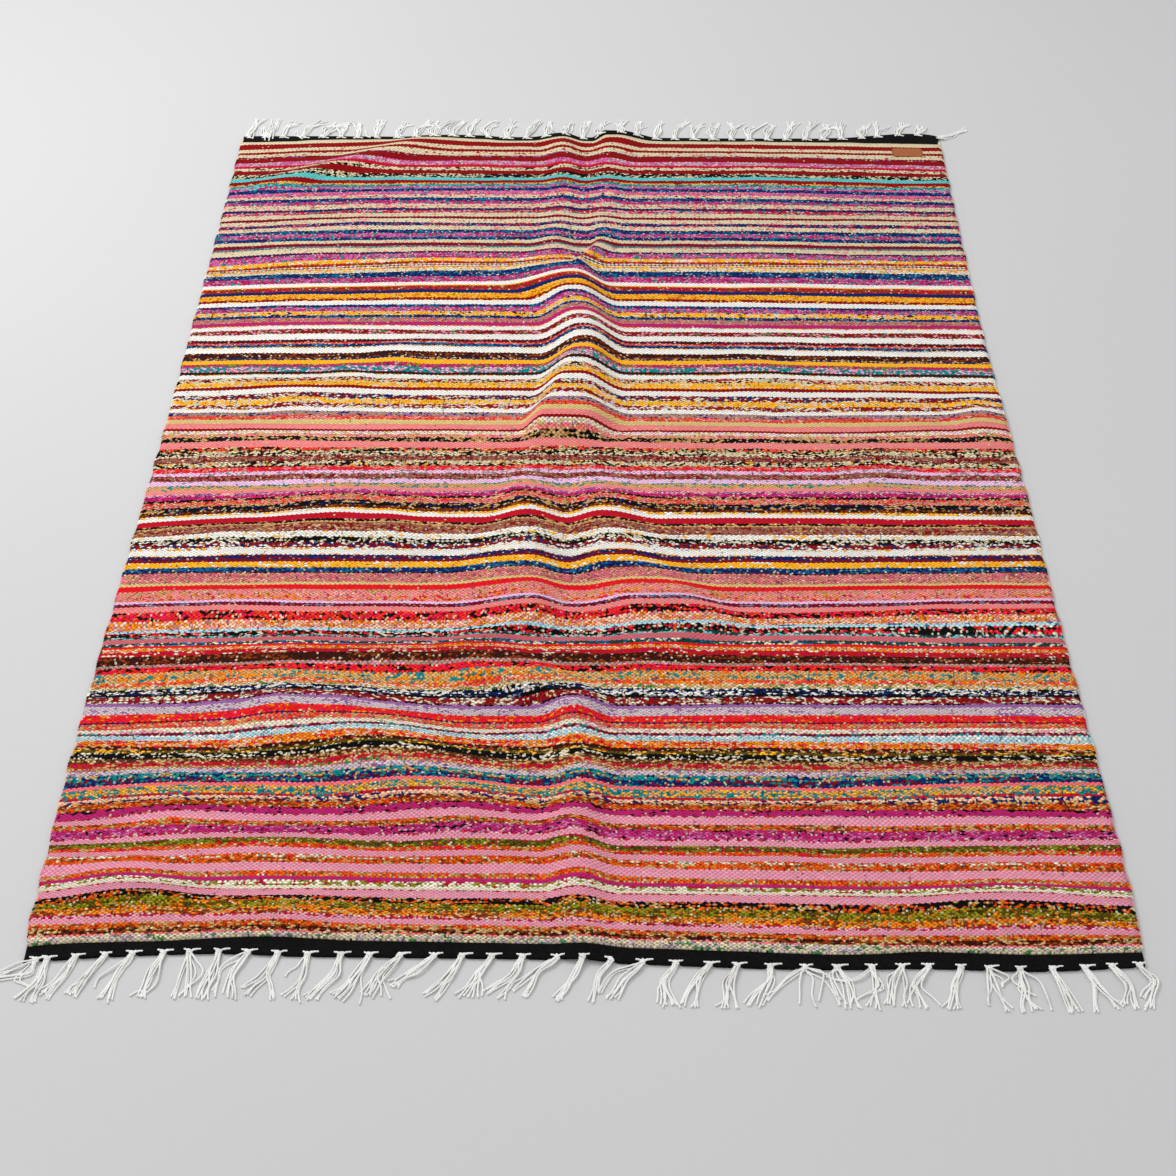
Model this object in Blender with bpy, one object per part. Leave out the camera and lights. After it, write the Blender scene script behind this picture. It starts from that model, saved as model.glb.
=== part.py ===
"""Striped flat-woven rug lying in its folds: cloth, black end bands, knotted fringes, leather label.

The rug lies on the plane z = 0, its centre at the origin. +Y runs along its length, away from the
end that is nearest the viewer, and +X to the right. Sizes are in metres; the tables are in
millimetres, as their names say.
"""

import math
import random
from collections import namedtuple

import bmesh
import bpy
from mathutils import Vector

MM = 0.001

# Driving sizes
CLOTH_THICKNESS = 5.5 * MM
BAND_THICKNESS = 3.5 * MM
PIECE_GAP = 0.3 * MM
LABEL_SIZE = (60 * MM, 30 * MM, 1.5 * MM)
LABEL_CENTRE = (624 * MM, 937 * MM)
LABEL_CORNER = 2 * MM
LABEL_CORNER_STEPS = 3

# Fringe: warp ends gathered in knots along each end
TASSELS_PER_END = 38
KNOT_INSET = 7
LOCKS_PER_TASSEL = 3
LOCK_WIDTH = 3.4 * MM
LOCK_HEIGHT = 2.4 * MM
LOCK_SPACING = 4.2 * MM
LOCK_TIP_SPACING = 6.5 * MM
LOCK_STEPS = (0.22, 0.48, 0.75, 1.0)
LOCK_TAPER = 0.15
LOCK_FIRST_BEND = 0.4
KNOT_ROW_DEPTH = 3 * MM
KNOT_ROW_HEIGHT = 2.6 * MM
KNOT_BULGE = 5 * MM
KNOT_HEIGHT = 5.5 * MM
KNOT_FALL = 0.3

# Selvedges: where the cloth's sides lie at each distance along the rug, in millimetres
Selvedge = namedtuple("Selvedge", "y left right")
SELVEDGES_MM = (
    Selvedge(-1010, -709, 704),
    Selvedge(-950, -713, 706),
    Selvedge(-870, -714, 708),
    Selvedge(-700, -716, 706),
    Selvedge(-600, -716, 704),
    Selvedge(-400, -713, 700),
    Selvedge(-100, -708, 697),
    Selvedge(100, -705, 692),
    Selvedge(300, -704, 688),
    Selvedge(500, -703, 688),
    Selvedge(700, -702, 690),
    Selvedge(1005, -702, 693),
)

# Ends: the inner and outer edges of the two black bands at each distance across, in millimetres
EndLine = namedtuple("EndLine", "x inner outer")
FRONT_END_MM = (
    EndLine(-716, -984, -1009),
    EndLine(-680, -979, -1004),
    EndLine(-600, -975, -997),
    EndLine(-530, -972, -993),
    EndLine(-460, -967, -991),
    EndLine(-380, -966, -994),
    EndLine(-300, -970, -995),
    EndLine(-30, -974, -997),
    EndLine(50, -978, -1002),
    EndLine(250, -985, -1009),
    EndLine(340, -987, -1009),
    EndLine(430, -982, -1007),
    EndLine(565, -985, -1010),
    EndLine(710, -980, -1002),
)
BACK_END_MM = (
    EndLine(-716, 963, 992),
    EndLine(-670, 965, 992),
    EndLine(-600, 970, 993),
    EndLine(-560, 974, 994),
    EndLine(-440, 978, 993),
    EndLine(-300, 979, 995),
    EndLine(-100, 976, 994),
    EndLine(100, 977, 994),
    EndLine(320, 977, 993),
    EndLine(450, 976, 995),
    EndLine(540, 974, 1000),
    EndLine(600, 972, 1004),
    EndLine(670, 971, 1008),
    EndLine(710, 970, 998),
)

# Centre folds: one row for each section across the rug. A section has up to two crests side by
# side, each with its place, height, half of its flat top and how far it falls to left and right.
Section = namedtuple(
    "Section",
    "y left_x left_z left_top left_a left_b right_x right_z right_top right_a right_b",
)
CENTRE_SECTIONS_MM = (
    Section(-1010, 0, 3, 0, 50, 50, 60, 0, 0, 40, 40),
    Section(-980, 0, 5, 0, 50, 50, 60, 0, 0, 40, 40),
    Section(-935, -10, 8, 0, 52, 52, 60, 0, 0, 40, 40),
    Section(-882, -10, 17, 0, 55, 55, 60, 0, 0, 40, 40),
    Section(-840, -10, 18, 0, 56, 56, 60, 0, 0, 40, 40),
    Section(-797, -20, 22, 0, 58, 58, 60, 0, 0, 40, 40),
    Section(-750, -15, 17, 0, 56, 56, 60, 0, 0, 40, 40),
    Section(-703, -5, 17, 0, 55, 55, 60, 0, 0, 40, 40),
    Section(-640, -15, 13, 0, 55, 58, 60, 0, 0, 40, 40),
    Section(-603, -20, 21, 0, 55, 58, 60, 0, 0, 40, 40),
    Section(-575, -20, 24, 0, 55, 58, 60, 0, 0, 40, 40),
    Section(-550, -30, 18, 15, 60, 60, 70, 0, 0, 50, 50),
    Section(-510, -100, 13, 45, 60, 65, 80, 1, 0, 60, 60),
    Section(-475, -140, 8, 30, 60, 70, 90, 3, 0, 60, 70),
    Section(-440, -165, 6, 10, 60, 80, 100, 6, 10, 80, 80),
    Section(-400, -90, 14, 0, 110, 60, 132, 12, 45, 90, 75),
    Section(-350, -85, 19, 0, 130, 58, 100, 19, 32, 85, 90),
    Section(-310, -90, 18, 0, 140, 60, 87, 15, 18, 85, 95),
    Section(-270, -95, 17, 0, 140, 66, 40, 16, 14, 62, 100),
    Section(-232, -95, 16, 0, 120, 66, 34, 14, 6, 62, 105),
    Section(-150, -100, 18, 0, 66, 68, 20, 16, 0, 62, 92),
    Section(-100, -105, 13, 0, 60, 68, 20, 10, 0, 60, 85),
    Section(-60, -108, 7, 0, 52, 60, 5, 6, 0, 50, 62),
    Section(-20, -80, 4, 10, 50, 60, 0, 3, 0, 50, 60),
    Section(12, -58, 5, 20, 48, 52, 20, 2, 0, 50, 60),
    Section(30, -48, 9, 33, 44, 55, 60, 2, 0, 50, 60),
    Section(42, -47, 23, 33, 44, 58, 70, 2, 0, 50, 60),
    Section(56, -46, 33, 32, 43, 66, 90, 1, 0, 50, 60),
    Section(90, -44, 35, 30, 45, 82, 100, 0, 0, 50, 60),
    Section(118, -40, 37, 18, 50, 86, 100, 0, 0, 50, 60),
    Section(170, -31, 38, 12, 56, 82, 100, 0, 0, 50, 60),
    Section(210, -24, 38, 8, 64, 76, 90, 0, 0, 50, 60),
    Section(253, -13, 39, 4, 74, 70, 80, 0, 0, 50, 60),
    Section(288, -12, 40, 4, 80, 74, 80, 0, 0, 50, 60),
    Section(350, -20, 36, 4, 78, 78, 70, 0, 0, 50, 60),
    Section(390, -29, 35, 6, 70, 74, 50, 0, 0, 50, 60),
    Section(432, -32, 35, 6, 84, 76, 30, 0, 0, 40, 60),
    Section(480, -31, 31, 0, 140, 68, 0, 0, 0, 20, 50),
    Section(520, -34, 22, 0, 150, 46, -24, 8, 0, 14, 46),
    Section(545, -48, 10, 5, 110, 30, -18, 18, 0, 12, 46),
    Section(565, -56, 8, 5, 80, 34, -7, 18, 0, 12, 42),
    Section(590, -64, 8, 0, 62, 40, 5, 13, 0, 14, 42),
    Section(618, -70, 9, 0, 55, 44, 14, 9, 0, 18, 45),
    Section(655, -66, 7, 0, 52, 42, 19, 7, 0, 28, 48),
    Section(700, -60, 5, 0, 50, 40, 20, 5, 0, 38, 50),
    Section(770, -57, 7, 0, 50, 40, 24, 6, 0, 38, 52),
    Section(845, -55, 8, 0, 50, 40, 25, 6, 0, 38, 55),
    Section(900, -58, 10, 0, 50, 44, 30, 9, 0, 42, 58),
    Section(945, -60, 12, 0, 50, 45, 35, 12, 0, 46, 60),
    Section(975, -60, 11, 0, 62, 42, 37, 15, 8, 32, 76),
    Section(1010, -60, 11, 0, 75, 40, 38, 18, 18, 26, 90),
)

# Slanting folds: each runs through its points, with its height and how far it falls on the side
# to the left of its way and on the side to the right, in millimetres
FoldPoint = namedtuple("FoldPoint", "x y z left right")
FOLDS_MM = (
    (
        FoldPoint(-500, -560, 5, 90, 90),
        FoldPoint(-430, -580, 17, 120, 110),
        FoldPoint(-350, -605, 22, 130, 120),
        FoldPoint(-300, -640, 24, 135, 120),
        FoldPoint(-240, -695, 22, 135, 120),
        FoldPoint(-170, -750, 17, 120, 110),
        FoldPoint(-100, -795, 7, 90, 90),
    ),
    (
        FoldPoint(-230, 990, 3, 50, 55),
        FoldPoint(-300, 980, 5, 55, 50),
        FoldPoint(-370, 948, 10, 52, 50),
        FoldPoint(-440, 908, 12, 50, 48),
        FoldPoint(-500, 870, 13, 40, 48),
        FoldPoint(-560, 836, 13, 28, 50),
        FoldPoint(-640, 805, 5, 45, 50),
    ),
)

# Swells: low rounded mounds, each with its half lengths and the turn of its long axis
Swell = namedtuple("Swell", "x y z half_long half_wide turn_deg")
SWELLS_MM = (
    Swell(-600, -885, 16, 115, 62, 0),
    Swell(-400, -930, 8, 120, 48, 4),
    Swell(555, -905, 12, 180, 68, 0),
    Swell(-400, -150, 9, 150, 105, 0),
    Swell(-310, -190, 6, 60, 60, 0),
    Swell(650, 95, 10, 62, 95, 0),
    Swell(470, -45, 7, 95, 90, 0),
    Swell(280, 215, 3, 95, 90, 0),
    Swell(-500, 125, 5, 80, 70, 0),
    Swell(-340, 250, 5, 70, 70, 0),
    Swell(-410, 205, 4, 60, 60, 0),
    Swell(615, 1005, 5, 115, 42, 0),
)

# Mesh stations across the cloth between its selvedges, close together over the centre folds
COLUMNS_MM = (
    -645, -580, -515, -450, -385, -320, -260, -205, -160, -125, -95, -68, -42, -18,
    6, 32, 60, 92, 130, 175, 225, 285, 360, 445, 535, 620,
)
WIDEST_ROW_STEP = 42 * MM

# Front tassels from left to right: the place of each knot across the rug, and of its tip, in
# millimetres
Tassel = namedtuple("Tassel", "knot tip_x tip_y")
FRONT_TASSELS_MM = (
    Tassel(-695, -757, -1034), Tassel(-681, -698, -1060), Tassel(-646, -674, -1056),
    Tassel(-609, -641, -1053), Tassel(-575, -598, -1060), Tassel(-536, -552, -1056),
    Tassel(-503, -508, -1057), Tassel(-466, -479, -1056), Tassel(-429, -450, -1054),
    Tassel(-391, -408, -1056), Tassel(-353, -368, -1060), Tassel(-311, -342, -1056),
    Tassel(-275, -310, -1056), Tassel(-236, -267, -1054), Tassel(-193, -240, -1038),
    Tassel(-158, -196, -1054), Tassel(-120, -148, -1054), Tassel(-81, -115, -1051),
    Tassel(-37, -84, -1048), Tassel(-5, -36, -1056), Tassel(31, 8, -1054),
    Tassel(71, 32, -1055), Tassel(113, 103, -1065), Tassel(155, 127, -1064),
    Tassel(190, 176, -1066), Tassel(232, 207, -1062), Tassel(275, 262, -1060),
    Tassel(316, 328, -1066), Tassel(360, 356, -1065), Tassel(397, 382, -1062),
    Tassel(431, 417, -1064), Tassel(472, 454, -1066), Tassel(507, 513, -1064),
    Tassel(546, 552, -1067), Tassel(587, 605, -1067), Tassel(628, 645, -1064),
    Tassel(663, 673, -1063), Tassel(698, 700, -1064),
)

# The far tassels: how far their tips lean, at places across the rug, in millimetres
Lean = namedtuple("Lean", "x lean")
BACK_LEANS_MM = (
    Lean(-700, 12), Lean(-600, 18), Lean(-480, -6), Lean(-350, 14), Lean(-200, 6),
    Lean(-60, 14), Lean(80, 4), Lean(220, 14), Lean(360, 16), Lean(500, 14), Lean(664, 20),
)
BACK_TIP_Y = 1063
BACK_TIP_SPREAD = 6
BACK_CORNER_TASSEL = Tassel(685, 755, 1036)
FRINGE_SEED = 38

# Finishes: sRGB-like base colour and roughness
STRIPE_RED = (0.55, 0.10, 0.12)
BAND_BLACK = (0.012, 0.010, 0.014)
COTTON_WHITE = (0.78, 0.77, 0.74)
LEATHER_TAN = (0.42, 0.17, 0.05)


def between(rows, place, field):
    """Read a field of a table at a place given by its first column, on a smooth curve."""
    last = len(rows) - 1
    span = 0
    while span < last - 1 and place > rows[span + 1][0]:
        span += 1
    low, high = rows[span], rows[span + 1]
    width = high[0] - low[0]
    before = rows[max(span - 1, 0)]
    after = rows[min(span + 2, last)]
    start, end = getattr(low, field), getattr(high, field)
    slope_low = (end - getattr(before, field)) / (high[0] - before[0]) * width
    slope_high = (getattr(after, field) - start) / (after[0] - low[0]) * width
    t = min(max((place - low[0]) / width, 0.0), 1.0)
    rise = 3 * t ** 2 - 2 * t ** 3
    bend = (t - 2 * t ** 2 + t ** 3) * slope_low + (t ** 3 - t ** 2) * slope_high
    return start + (end - start) * rise + bend


def bell(distance, reach):
    """A rounded rise: 1 at its middle and 0 from its reach on."""
    if distance >= reach:
        return 0.0
    return math.cos(0.5 * math.pi * distance / reach) ** 2


def crest(x, section, which):
    """Height in millimetres of one crest of a centre section."""
    offset = x - section[which + "_x"]
    reach = section[which + "_b"] if offset > 0 else section[which + "_a"]
    past_top = max(abs(offset) - section[which + "_top"], 0.0)
    return max(section[which + "_z"], 0.0) * bell(past_top, reach)


def centre_height(x, y):
    """Height in millimetres of the long folds down the middle."""
    section = {
        field: between(CENTRE_SECTIONS_MM, y, field) for field in Section._fields if field != "y"
    }
    return crest(x, section, "left") + crest(x, section, "right")


def fold_height(x, y, points):
    """Height in millimetres of one slanting fold, from the nearest place on its line."""
    highest = 0.0
    for start, end in zip(points, points[1:]):
        way = (end.x - start.x, end.y - start.y)
        length_squared = way[0] ** 2 + way[1] ** 2
        t = ((x - start.x) * way[0] + (y - start.y) * way[1]) / length_squared
        t = min(max(t, 0.0), 1.0)
        aside = (x - start.x - t * way[0], y - start.y - t * way[1])
        on_left = way[0] * aside[1] - way[1] * aside[0] > 0
        here, there = (start.left, end.left) if on_left else (start.right, end.right)
        reach = here + (there - here) * t
        height = start.z + (end.z - start.z) * t
        highest = max(highest, height * bell(math.hypot(*aside), reach))
    return highest


def swell_height(x, y, swell):
    """Height in millimetres of one low mound."""
    turn = math.radians(swell.turn_deg)
    dx, dy = x - swell.x, y - swell.y
    along = (dx * math.cos(turn) + dy * math.sin(turn)) / swell.half_long
    across = (dy * math.cos(turn) - dx * math.sin(turn)) / swell.half_wide
    return swell.z * bell(math.hypot(along, across), 1.0)


def lie(x, y):
    """Height of the cloth's underside above the floor, in metres, at a place in metres."""
    x, y = x / MM, y / MM
    height = centre_height(x, y)
    height += sum(fold_height(x, y, points) for points in FOLDS_MM)
    height += sum(swell_height(x, y, swell) for swell in SWELLS_MM)
    return height * MM


def side(y, field):
    """Where a selvedge lies at a distance along the rug."""
    return between(SELVEDGES_MM, y / MM, field) * MM


def end_line(table, x, field):
    """Where an edge of an end band lies at a distance across the rug."""
    return between(table, x / MM, field) * MM


def cloth_rows():
    """Distances along the cloth that carry mesh rows: the sections, split where they lie far apart."""
    marks = [row.y * MM for row in CENTRE_SECTIONS_MM[1:-1]]
    rows = [marks[0]]
    for start, end in zip(marks, marks[1:]):
        splits = math.ceil((end - start) / WIDEST_ROW_STEP)
        rows += [start + (end - start) * step / splits for step in range(1, splits + 1)]
    return rows


def stations(y):
    """Mesh stations from selvedge to selvedge at a distance along the rug."""
    return [side(y, "left")] + [x * MM for x in COLUMNS_MM] + [side(y, "right")]


def material(name, colour, roughness):
    """A plain finish."""
    finish = bpy.data.materials.new(name)
    finish.use_nodes = True
    shader = finish.node_tree.nodes["Principled BSDF"]
    shader.inputs["Base Color"].default_value = (*colour, 1.0)
    shader.inputs["Roughness"].default_value = roughness
    shader.inputs["Metallic"].default_value = 0.0
    return finish


def add_piece(collection, name, bm, finish, location=(0.0, 0.0, 0.0)):
    """Turn a finished bmesh into one named object of the rug."""
    bmesh.ops.recalc_face_normals(bm, faces=bm.faces)
    mesh = bpy.data.meshes.new(name)
    bm.to_mesh(mesh)
    bm.free()
    mesh.materials.append(finish)
    piece = bpy.data.objects.new(name, mesh)
    piece.location = location
    collection.objects.link(piece)
    return piece


def sheet(rows, near_line, far_line, thickness):
    """A sheet that lies in the rug's folds between two lines across it, one solid."""
    bm = bmesh.new()
    columns = len(COLUMNS_MM) + 2
    bmesh.ops.create_grid(bm, x_segments=columns - 1, y_segments=len(rows) - 1, size=1.0)
    bm.verts.ensure_lookup_table()
    for index, vert in enumerate(bm.verts):
        row, column = divmod(index, columns)
        x = stations(rows[row])[column]
        share = (rows[row] - rows[0]) / (rows[-1] - rows[0])
        y = near_line(x) + (far_line(x) - near_line(x)) * share
        vert.co = (x, y, lie(x, y))
    raised = bmesh.ops.extrude_face_region(bm, geom=bm.faces[:])["geom"]
    top = [item for item in raised if isinstance(item, bmesh.types.BMVert)]
    bmesh.ops.translate(bm, verts=top, vec=(0.0, 0.0, thickness))
    return bm


def make_cloth(collection, finish):
    """The striped cloth, from one end band to the other."""
    bm = sheet(
        cloth_rows(),
        lambda x: end_line(FRONT_END_MM, x, "inner"),
        lambda x: end_line(BACK_END_MM, x, "inner"),
        CLOTH_THICKNESS,
    )
    cloth = add_piece(collection, "rug_cloth", bm, finish)
    cloth.data.shade_smooth()
    cloth.data.set_sharp_from_angle(angle=math.radians(40))


def make_end_band(collection, name, table, outward, finish):
    """A black band woven at one end: outward is -1 at the front end and 1 at the back."""
    bm = sheet(
        [table[0].inner * MM, table[0].outer * MM],
        lambda x: end_line(table, x, "inner") + outward * PIECE_GAP,
        lambda x: end_line(table, x, "outer"),
        BAND_THICKNESS,
    )
    add_piece(collection, name, bm, finish)


def back_tassels():
    """The tassels along the far end; the last one lies out past the selvedge."""
    rng = random.Random(FRINGE_SEED)
    first = between(SELVEDGES_MM, BACK_TIP_Y, "left") + KNOT_INSET
    step = (BACK_CORNER_TASSEL.knot - first) / (TASSELS_PER_END - 1)
    row = []
    for index in range(TASSELS_PER_END - 1):
        knot = first + step * index
        tip_x = knot + between(BACK_LEANS_MM, knot, "lean") + rng.uniform(-4, 4)
        row.append(Tassel(knot, tip_x, BACK_TIP_Y + rng.uniform(-1, 1) * BACK_TIP_SPREAD))
    return [*row, BACK_CORNER_TASSEL]


def knot_point(table, outward, x, bulge, height):
    """A point on the outer side of the knot row, above the floor by the cloth's lie there."""
    y = end_line(table, x, "outer") + outward * (KNOT_ROW_DEPTH + bulge)
    return x, y, lie(x, y) + height


def lock_path(tassel, root, outward, t, place):
    """Middle and side direction of one lock at a share t of its length."""
    run = abs(tassel.tip_y * MM) - abs(root.y)
    lean = (tassel.tip_x - tassel.knot) * MM
    bend = LOCK_FIRST_BEND * t + (1.0 - LOCK_FIRST_BEND) * t * t
    slope = lean * (LOCK_FIRST_BEND + 2.0 * (1.0 - LOCK_FIRST_BEND) * t)
    x = root.x - place * LOCK_SPACING + lean * bend
    y = root.y + outward * run * t
    across = Vector((run, -outward * slope, 0.0)).normalized()
    spacing = LOCK_SPACING + (LOCK_TIP_SPACING - LOCK_SPACING) * t
    drop = max(1.0 - t / LOCK_STEPS[-2], 0.0) ** 2
    return Vector((x, y, root.z * drop)) + across * place * spacing, across


def grow_lock(bm, face, tassel, outward, place):
    """Draw one three-sided lock out of its root face and lay it along the floor."""
    left, right, top = [vert.co.copy() for vert in face.verts]
    root = (left + right) / 2
    for t in LOCK_STEPS:
        middle, across = lock_path(tassel, root, outward, t, place)
        taper = 1.0 - LOCK_TAPER * t
        half = across * LOCK_WIDTH * taper / 2
        ridge = Vector((0.0, 0.0, LOCK_HEIGHT * taper))
        face = bmesh.ops.extrude_discrete_faces(bm, faces=[face])["faces"][0]
        for vert, point in zip(face.verts, (middle - half, middle + half, middle + ridge)):
            vert.co = point


def zip_chains(bm, near, far):
    """Close the strip between two chains of vertices that both run from left to right."""
    i = j = 0
    while i < len(near) - 1 or j < len(far) - 1:
        step_near = j == len(far) - 1 or (
            i < len(near) - 1 and near[i + 1].co.x <= far[j + 1].co.x
        )
        if step_near:
            bm.faces.new((near[i], near[i + 1], far[j]))
            i += 1
        else:
            bm.faces.new((near[i], far[j + 1], far[j]))
            j += 1


def make_fringe(collection, name, table, row, outward, finish):
    """A narrow row of knots parted from an end band, with the locks of its tassels fused in."""
    bm = bmesh.new()
    edge = stations(table[0].outer * MM)
    inner = []
    for height in (0.0, KNOT_ROW_HEIGHT):
        chain = []
        for x in edge:
            y = end_line(table, x, "outer") + outward * PIECE_GAP
            chain.append(bm.verts.new((x, y, lie(x, y) + height)))
        inner.append(chain)

    gaps = [(one.knot + two.knot) / 2 * MM for one, two in zip(row, row[1:])] + [edge[-1]]
    low = [bm.verts.new(knot_point(table, outward, edge[0], 0.0, 0.0))]
    high = [bm.verts.new(knot_point(table, outward, edge[0], 0.0, KNOT_ROW_HEIGHT))]
    roots = []
    for tassel, gap in zip(row, gaps):
        for place in range(-(LOCKS_PER_TASSEL // 2), LOCKS_PER_TASSEL // 2 + 1):
            middle = tassel.knot * MM + place * LOCK_SPACING
            roundness = 1.0 - KNOT_FALL * place * place
            left, right = (
                bm.verts.new(knot_point(table, outward, x, KNOT_BULGE * roundness, 0.0))
                for x in (middle - LOCK_WIDTH / 2, middle + LOCK_WIDTH / 2)
            )
            crown = KNOT_ROW_HEIGHT + (KNOT_HEIGHT - KNOT_ROW_HEIGHT) * roundness
            top = bm.verts.new(knot_point(table, outward, middle, KNOT_BULGE * roundness, crown))
            bm.faces.new((low[-1], left, top, high[-1]))
            roots.append((bm.faces.new((left, right, top)), tassel, place))
            low += [left, right]
            high.append(top)
        end_low = bm.verts.new(knot_point(table, outward, gap, 0.0, 0.0))
        end_high = bm.verts.new(knot_point(table, outward, gap, 0.0, KNOT_ROW_HEIGHT))
        bm.faces.new((low[-1], end_low, end_high, high[-1]))
        low.append(end_low)
        high.append(end_high)

    zip_chains(bm, inner[0], low)
    zip_chains(bm, inner[1], high)
    for index in range(len(edge) - 1):
        bm.faces.new((inner[0][index], inner[0][index + 1], inner[1][index + 1], inner[1][index]))
    for index in (0, -1):
        bm.faces.new((inner[0][index], low[index], high[index], inner[1][index]))
    for face, tassel, place in roots:
        grow_lock(bm, face, tassel, outward, place)
    add_piece(collection, name, bm, finish)


def make_label(collection, finish):
    """The leather label, a thin patch with rounded corners on top of the cloth."""
    bm = bmesh.new()
    bmesh.ops.create_cube(bm, size=1.0)
    bmesh.ops.scale(bm, verts=bm.verts, vec=LABEL_SIZE)
    upright = [
        edge for edge in bm.edges if abs(edge.verts[0].co.z - edge.verts[1].co.z) > 0.5 * MM
    ]
    bmesh.ops.bevel(
        bm, geom=upright, offset=LABEL_CORNER, segments=LABEL_CORNER_STEPS, affect="EDGES"
    )
    x, y = LABEL_CENTRE
    height = lie(x, y) + CLOTH_THICKNESS + PIECE_GAP + LABEL_SIZE[2] / 2
    add_piece(collection, "leather_label", bm, finish, location=(x, y, height))


def main():
    for old in list(bpy.data.objects):
        bpy.data.objects.remove(old, do_unlink=True)
    rug = bpy.data.collections.new("striped_rug")
    bpy.context.scene.collection.children.link(rug)

    stripes = material("striped_weft", STRIPE_RED, 0.9)
    black = material("black_weft", BAND_BLACK, 0.9)
    cotton = material("cotton_warp", COTTON_WHITE, 0.9)
    leather = material("tan_leather", LEATHER_TAN, 0.6)

    make_cloth(rug, stripes)
    make_end_band(rug, "end_band_front", FRONT_END_MM, -1, black)
    make_end_band(rug, "end_band_back", BACK_END_MM, 1, black)
    make_fringe(rug, "fringe_front", FRONT_END_MM, FRONT_TASSELS_MM, -1, cotton)
    make_fringe(rug, "fringe_back", BACK_END_MM, back_tassels(), 1, cotton)
    make_label(rug, leather)


main()
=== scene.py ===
"""Looks of the striped rug: woven cloth in its folds, black end bands, cotton fringes, leather label.

Lengths in the tables are in millimetres, as their names say; everything in the scene is in metres.
+Y runs along the rug, away from the camera, +X to the right, and the floor is z = 0.
"""

import math
from collections import namedtuple

import bmesh
import bpy
import numpy as np
from mathutils import Matrix, Vector


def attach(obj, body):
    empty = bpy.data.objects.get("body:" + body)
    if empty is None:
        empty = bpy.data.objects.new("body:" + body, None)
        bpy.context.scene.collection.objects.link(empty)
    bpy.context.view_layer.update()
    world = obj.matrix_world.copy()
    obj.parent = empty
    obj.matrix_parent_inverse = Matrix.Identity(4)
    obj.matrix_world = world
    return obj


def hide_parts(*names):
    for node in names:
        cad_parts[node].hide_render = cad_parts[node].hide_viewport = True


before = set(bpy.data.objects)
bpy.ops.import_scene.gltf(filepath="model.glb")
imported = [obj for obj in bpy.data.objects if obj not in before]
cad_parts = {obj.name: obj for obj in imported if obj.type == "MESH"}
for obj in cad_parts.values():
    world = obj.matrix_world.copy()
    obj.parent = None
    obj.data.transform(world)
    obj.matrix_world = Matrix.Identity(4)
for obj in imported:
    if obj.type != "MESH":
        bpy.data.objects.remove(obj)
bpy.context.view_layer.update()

MM = 0.001
CLOTH_THICKNESS = 5.5 * MM
BAND_THICKNESS = 3.5 * MM

# Camera: where it stands, how it is turned and its lens, for a square picture
CAMERA_PLACE = (6.4 * MM, -2436.8 * MM, 2026.1 * MM)
CAMERA_YAW_DEG = -0.231
CAMERA_DIP_DEG = 43.66
CAMERA_ROLL_DEG = -0.188
SENSOR_MM = 36.0
PICTURE_WIDTH_PX = 1176
FOCAL_LENGTH_PX = 1930

# Studio: the floor, a soft lamp behind on the left, and even light from all round
FLOOR_HALF_SIZE = 8.0
LAMP_PLACE = (-2.2, 1.2, 3.0)
LAMP_POWER, LAMP_SIZE = 75.0, 1.6
SKY_STRENGTH = 0.75

# Selvedges: where the cloth's sides lie at each distance along the rug
Selvedge = namedtuple("Selvedge", "y left right")
SELVEDGES_MM = tuple(Selvedge(*row) for row in (
    (-1010, -709, 704), (-950, -713, 706), (-870, -714, 708),
    (-700, -716, 706), (-600, -716, 704), (-400, -713, 700),
    (-100, -708, 697), (100, -705, 692), (300, -704, 688),
    (500, -703, 688), (700, -702, 690), (1005, -702, 693),
))

# Ends: the inner and outer edges of the two black bands at each distance across
EndLine = namedtuple("EndLine", "x inner outer")
FRONT_END_MM = tuple(EndLine(*row) for row in (
    (-716, -984, -1009), (-680, -979, -1004), (-600, -975, -997),
    (-530, -972, -993), (-460, -967, -991), (-380, -966, -994),
    (-300, -970, -995), (-30, -974, -997), (50, -978, -1002),
    (250, -985, -1009), (340, -987, -1009), (430, -982, -1007),
    (565, -985, -1010), (710, -980, -1002),
))
BACK_END_MM = tuple(EndLine(*row) for row in (
    (-716, 963, 992), (-670, 965, 992), (-600, 970, 993),
    (-560, 974, 994), (-440, 978, 993), (-300, 979, 995),
    (-100, 976, 994), (100, 977, 994), (320, 977, 993),
    (450, 976, 995), (540, 974, 1000), (600, 972, 1004),
    (670, 971, 1008), (710, 970, 998),
))

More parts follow.
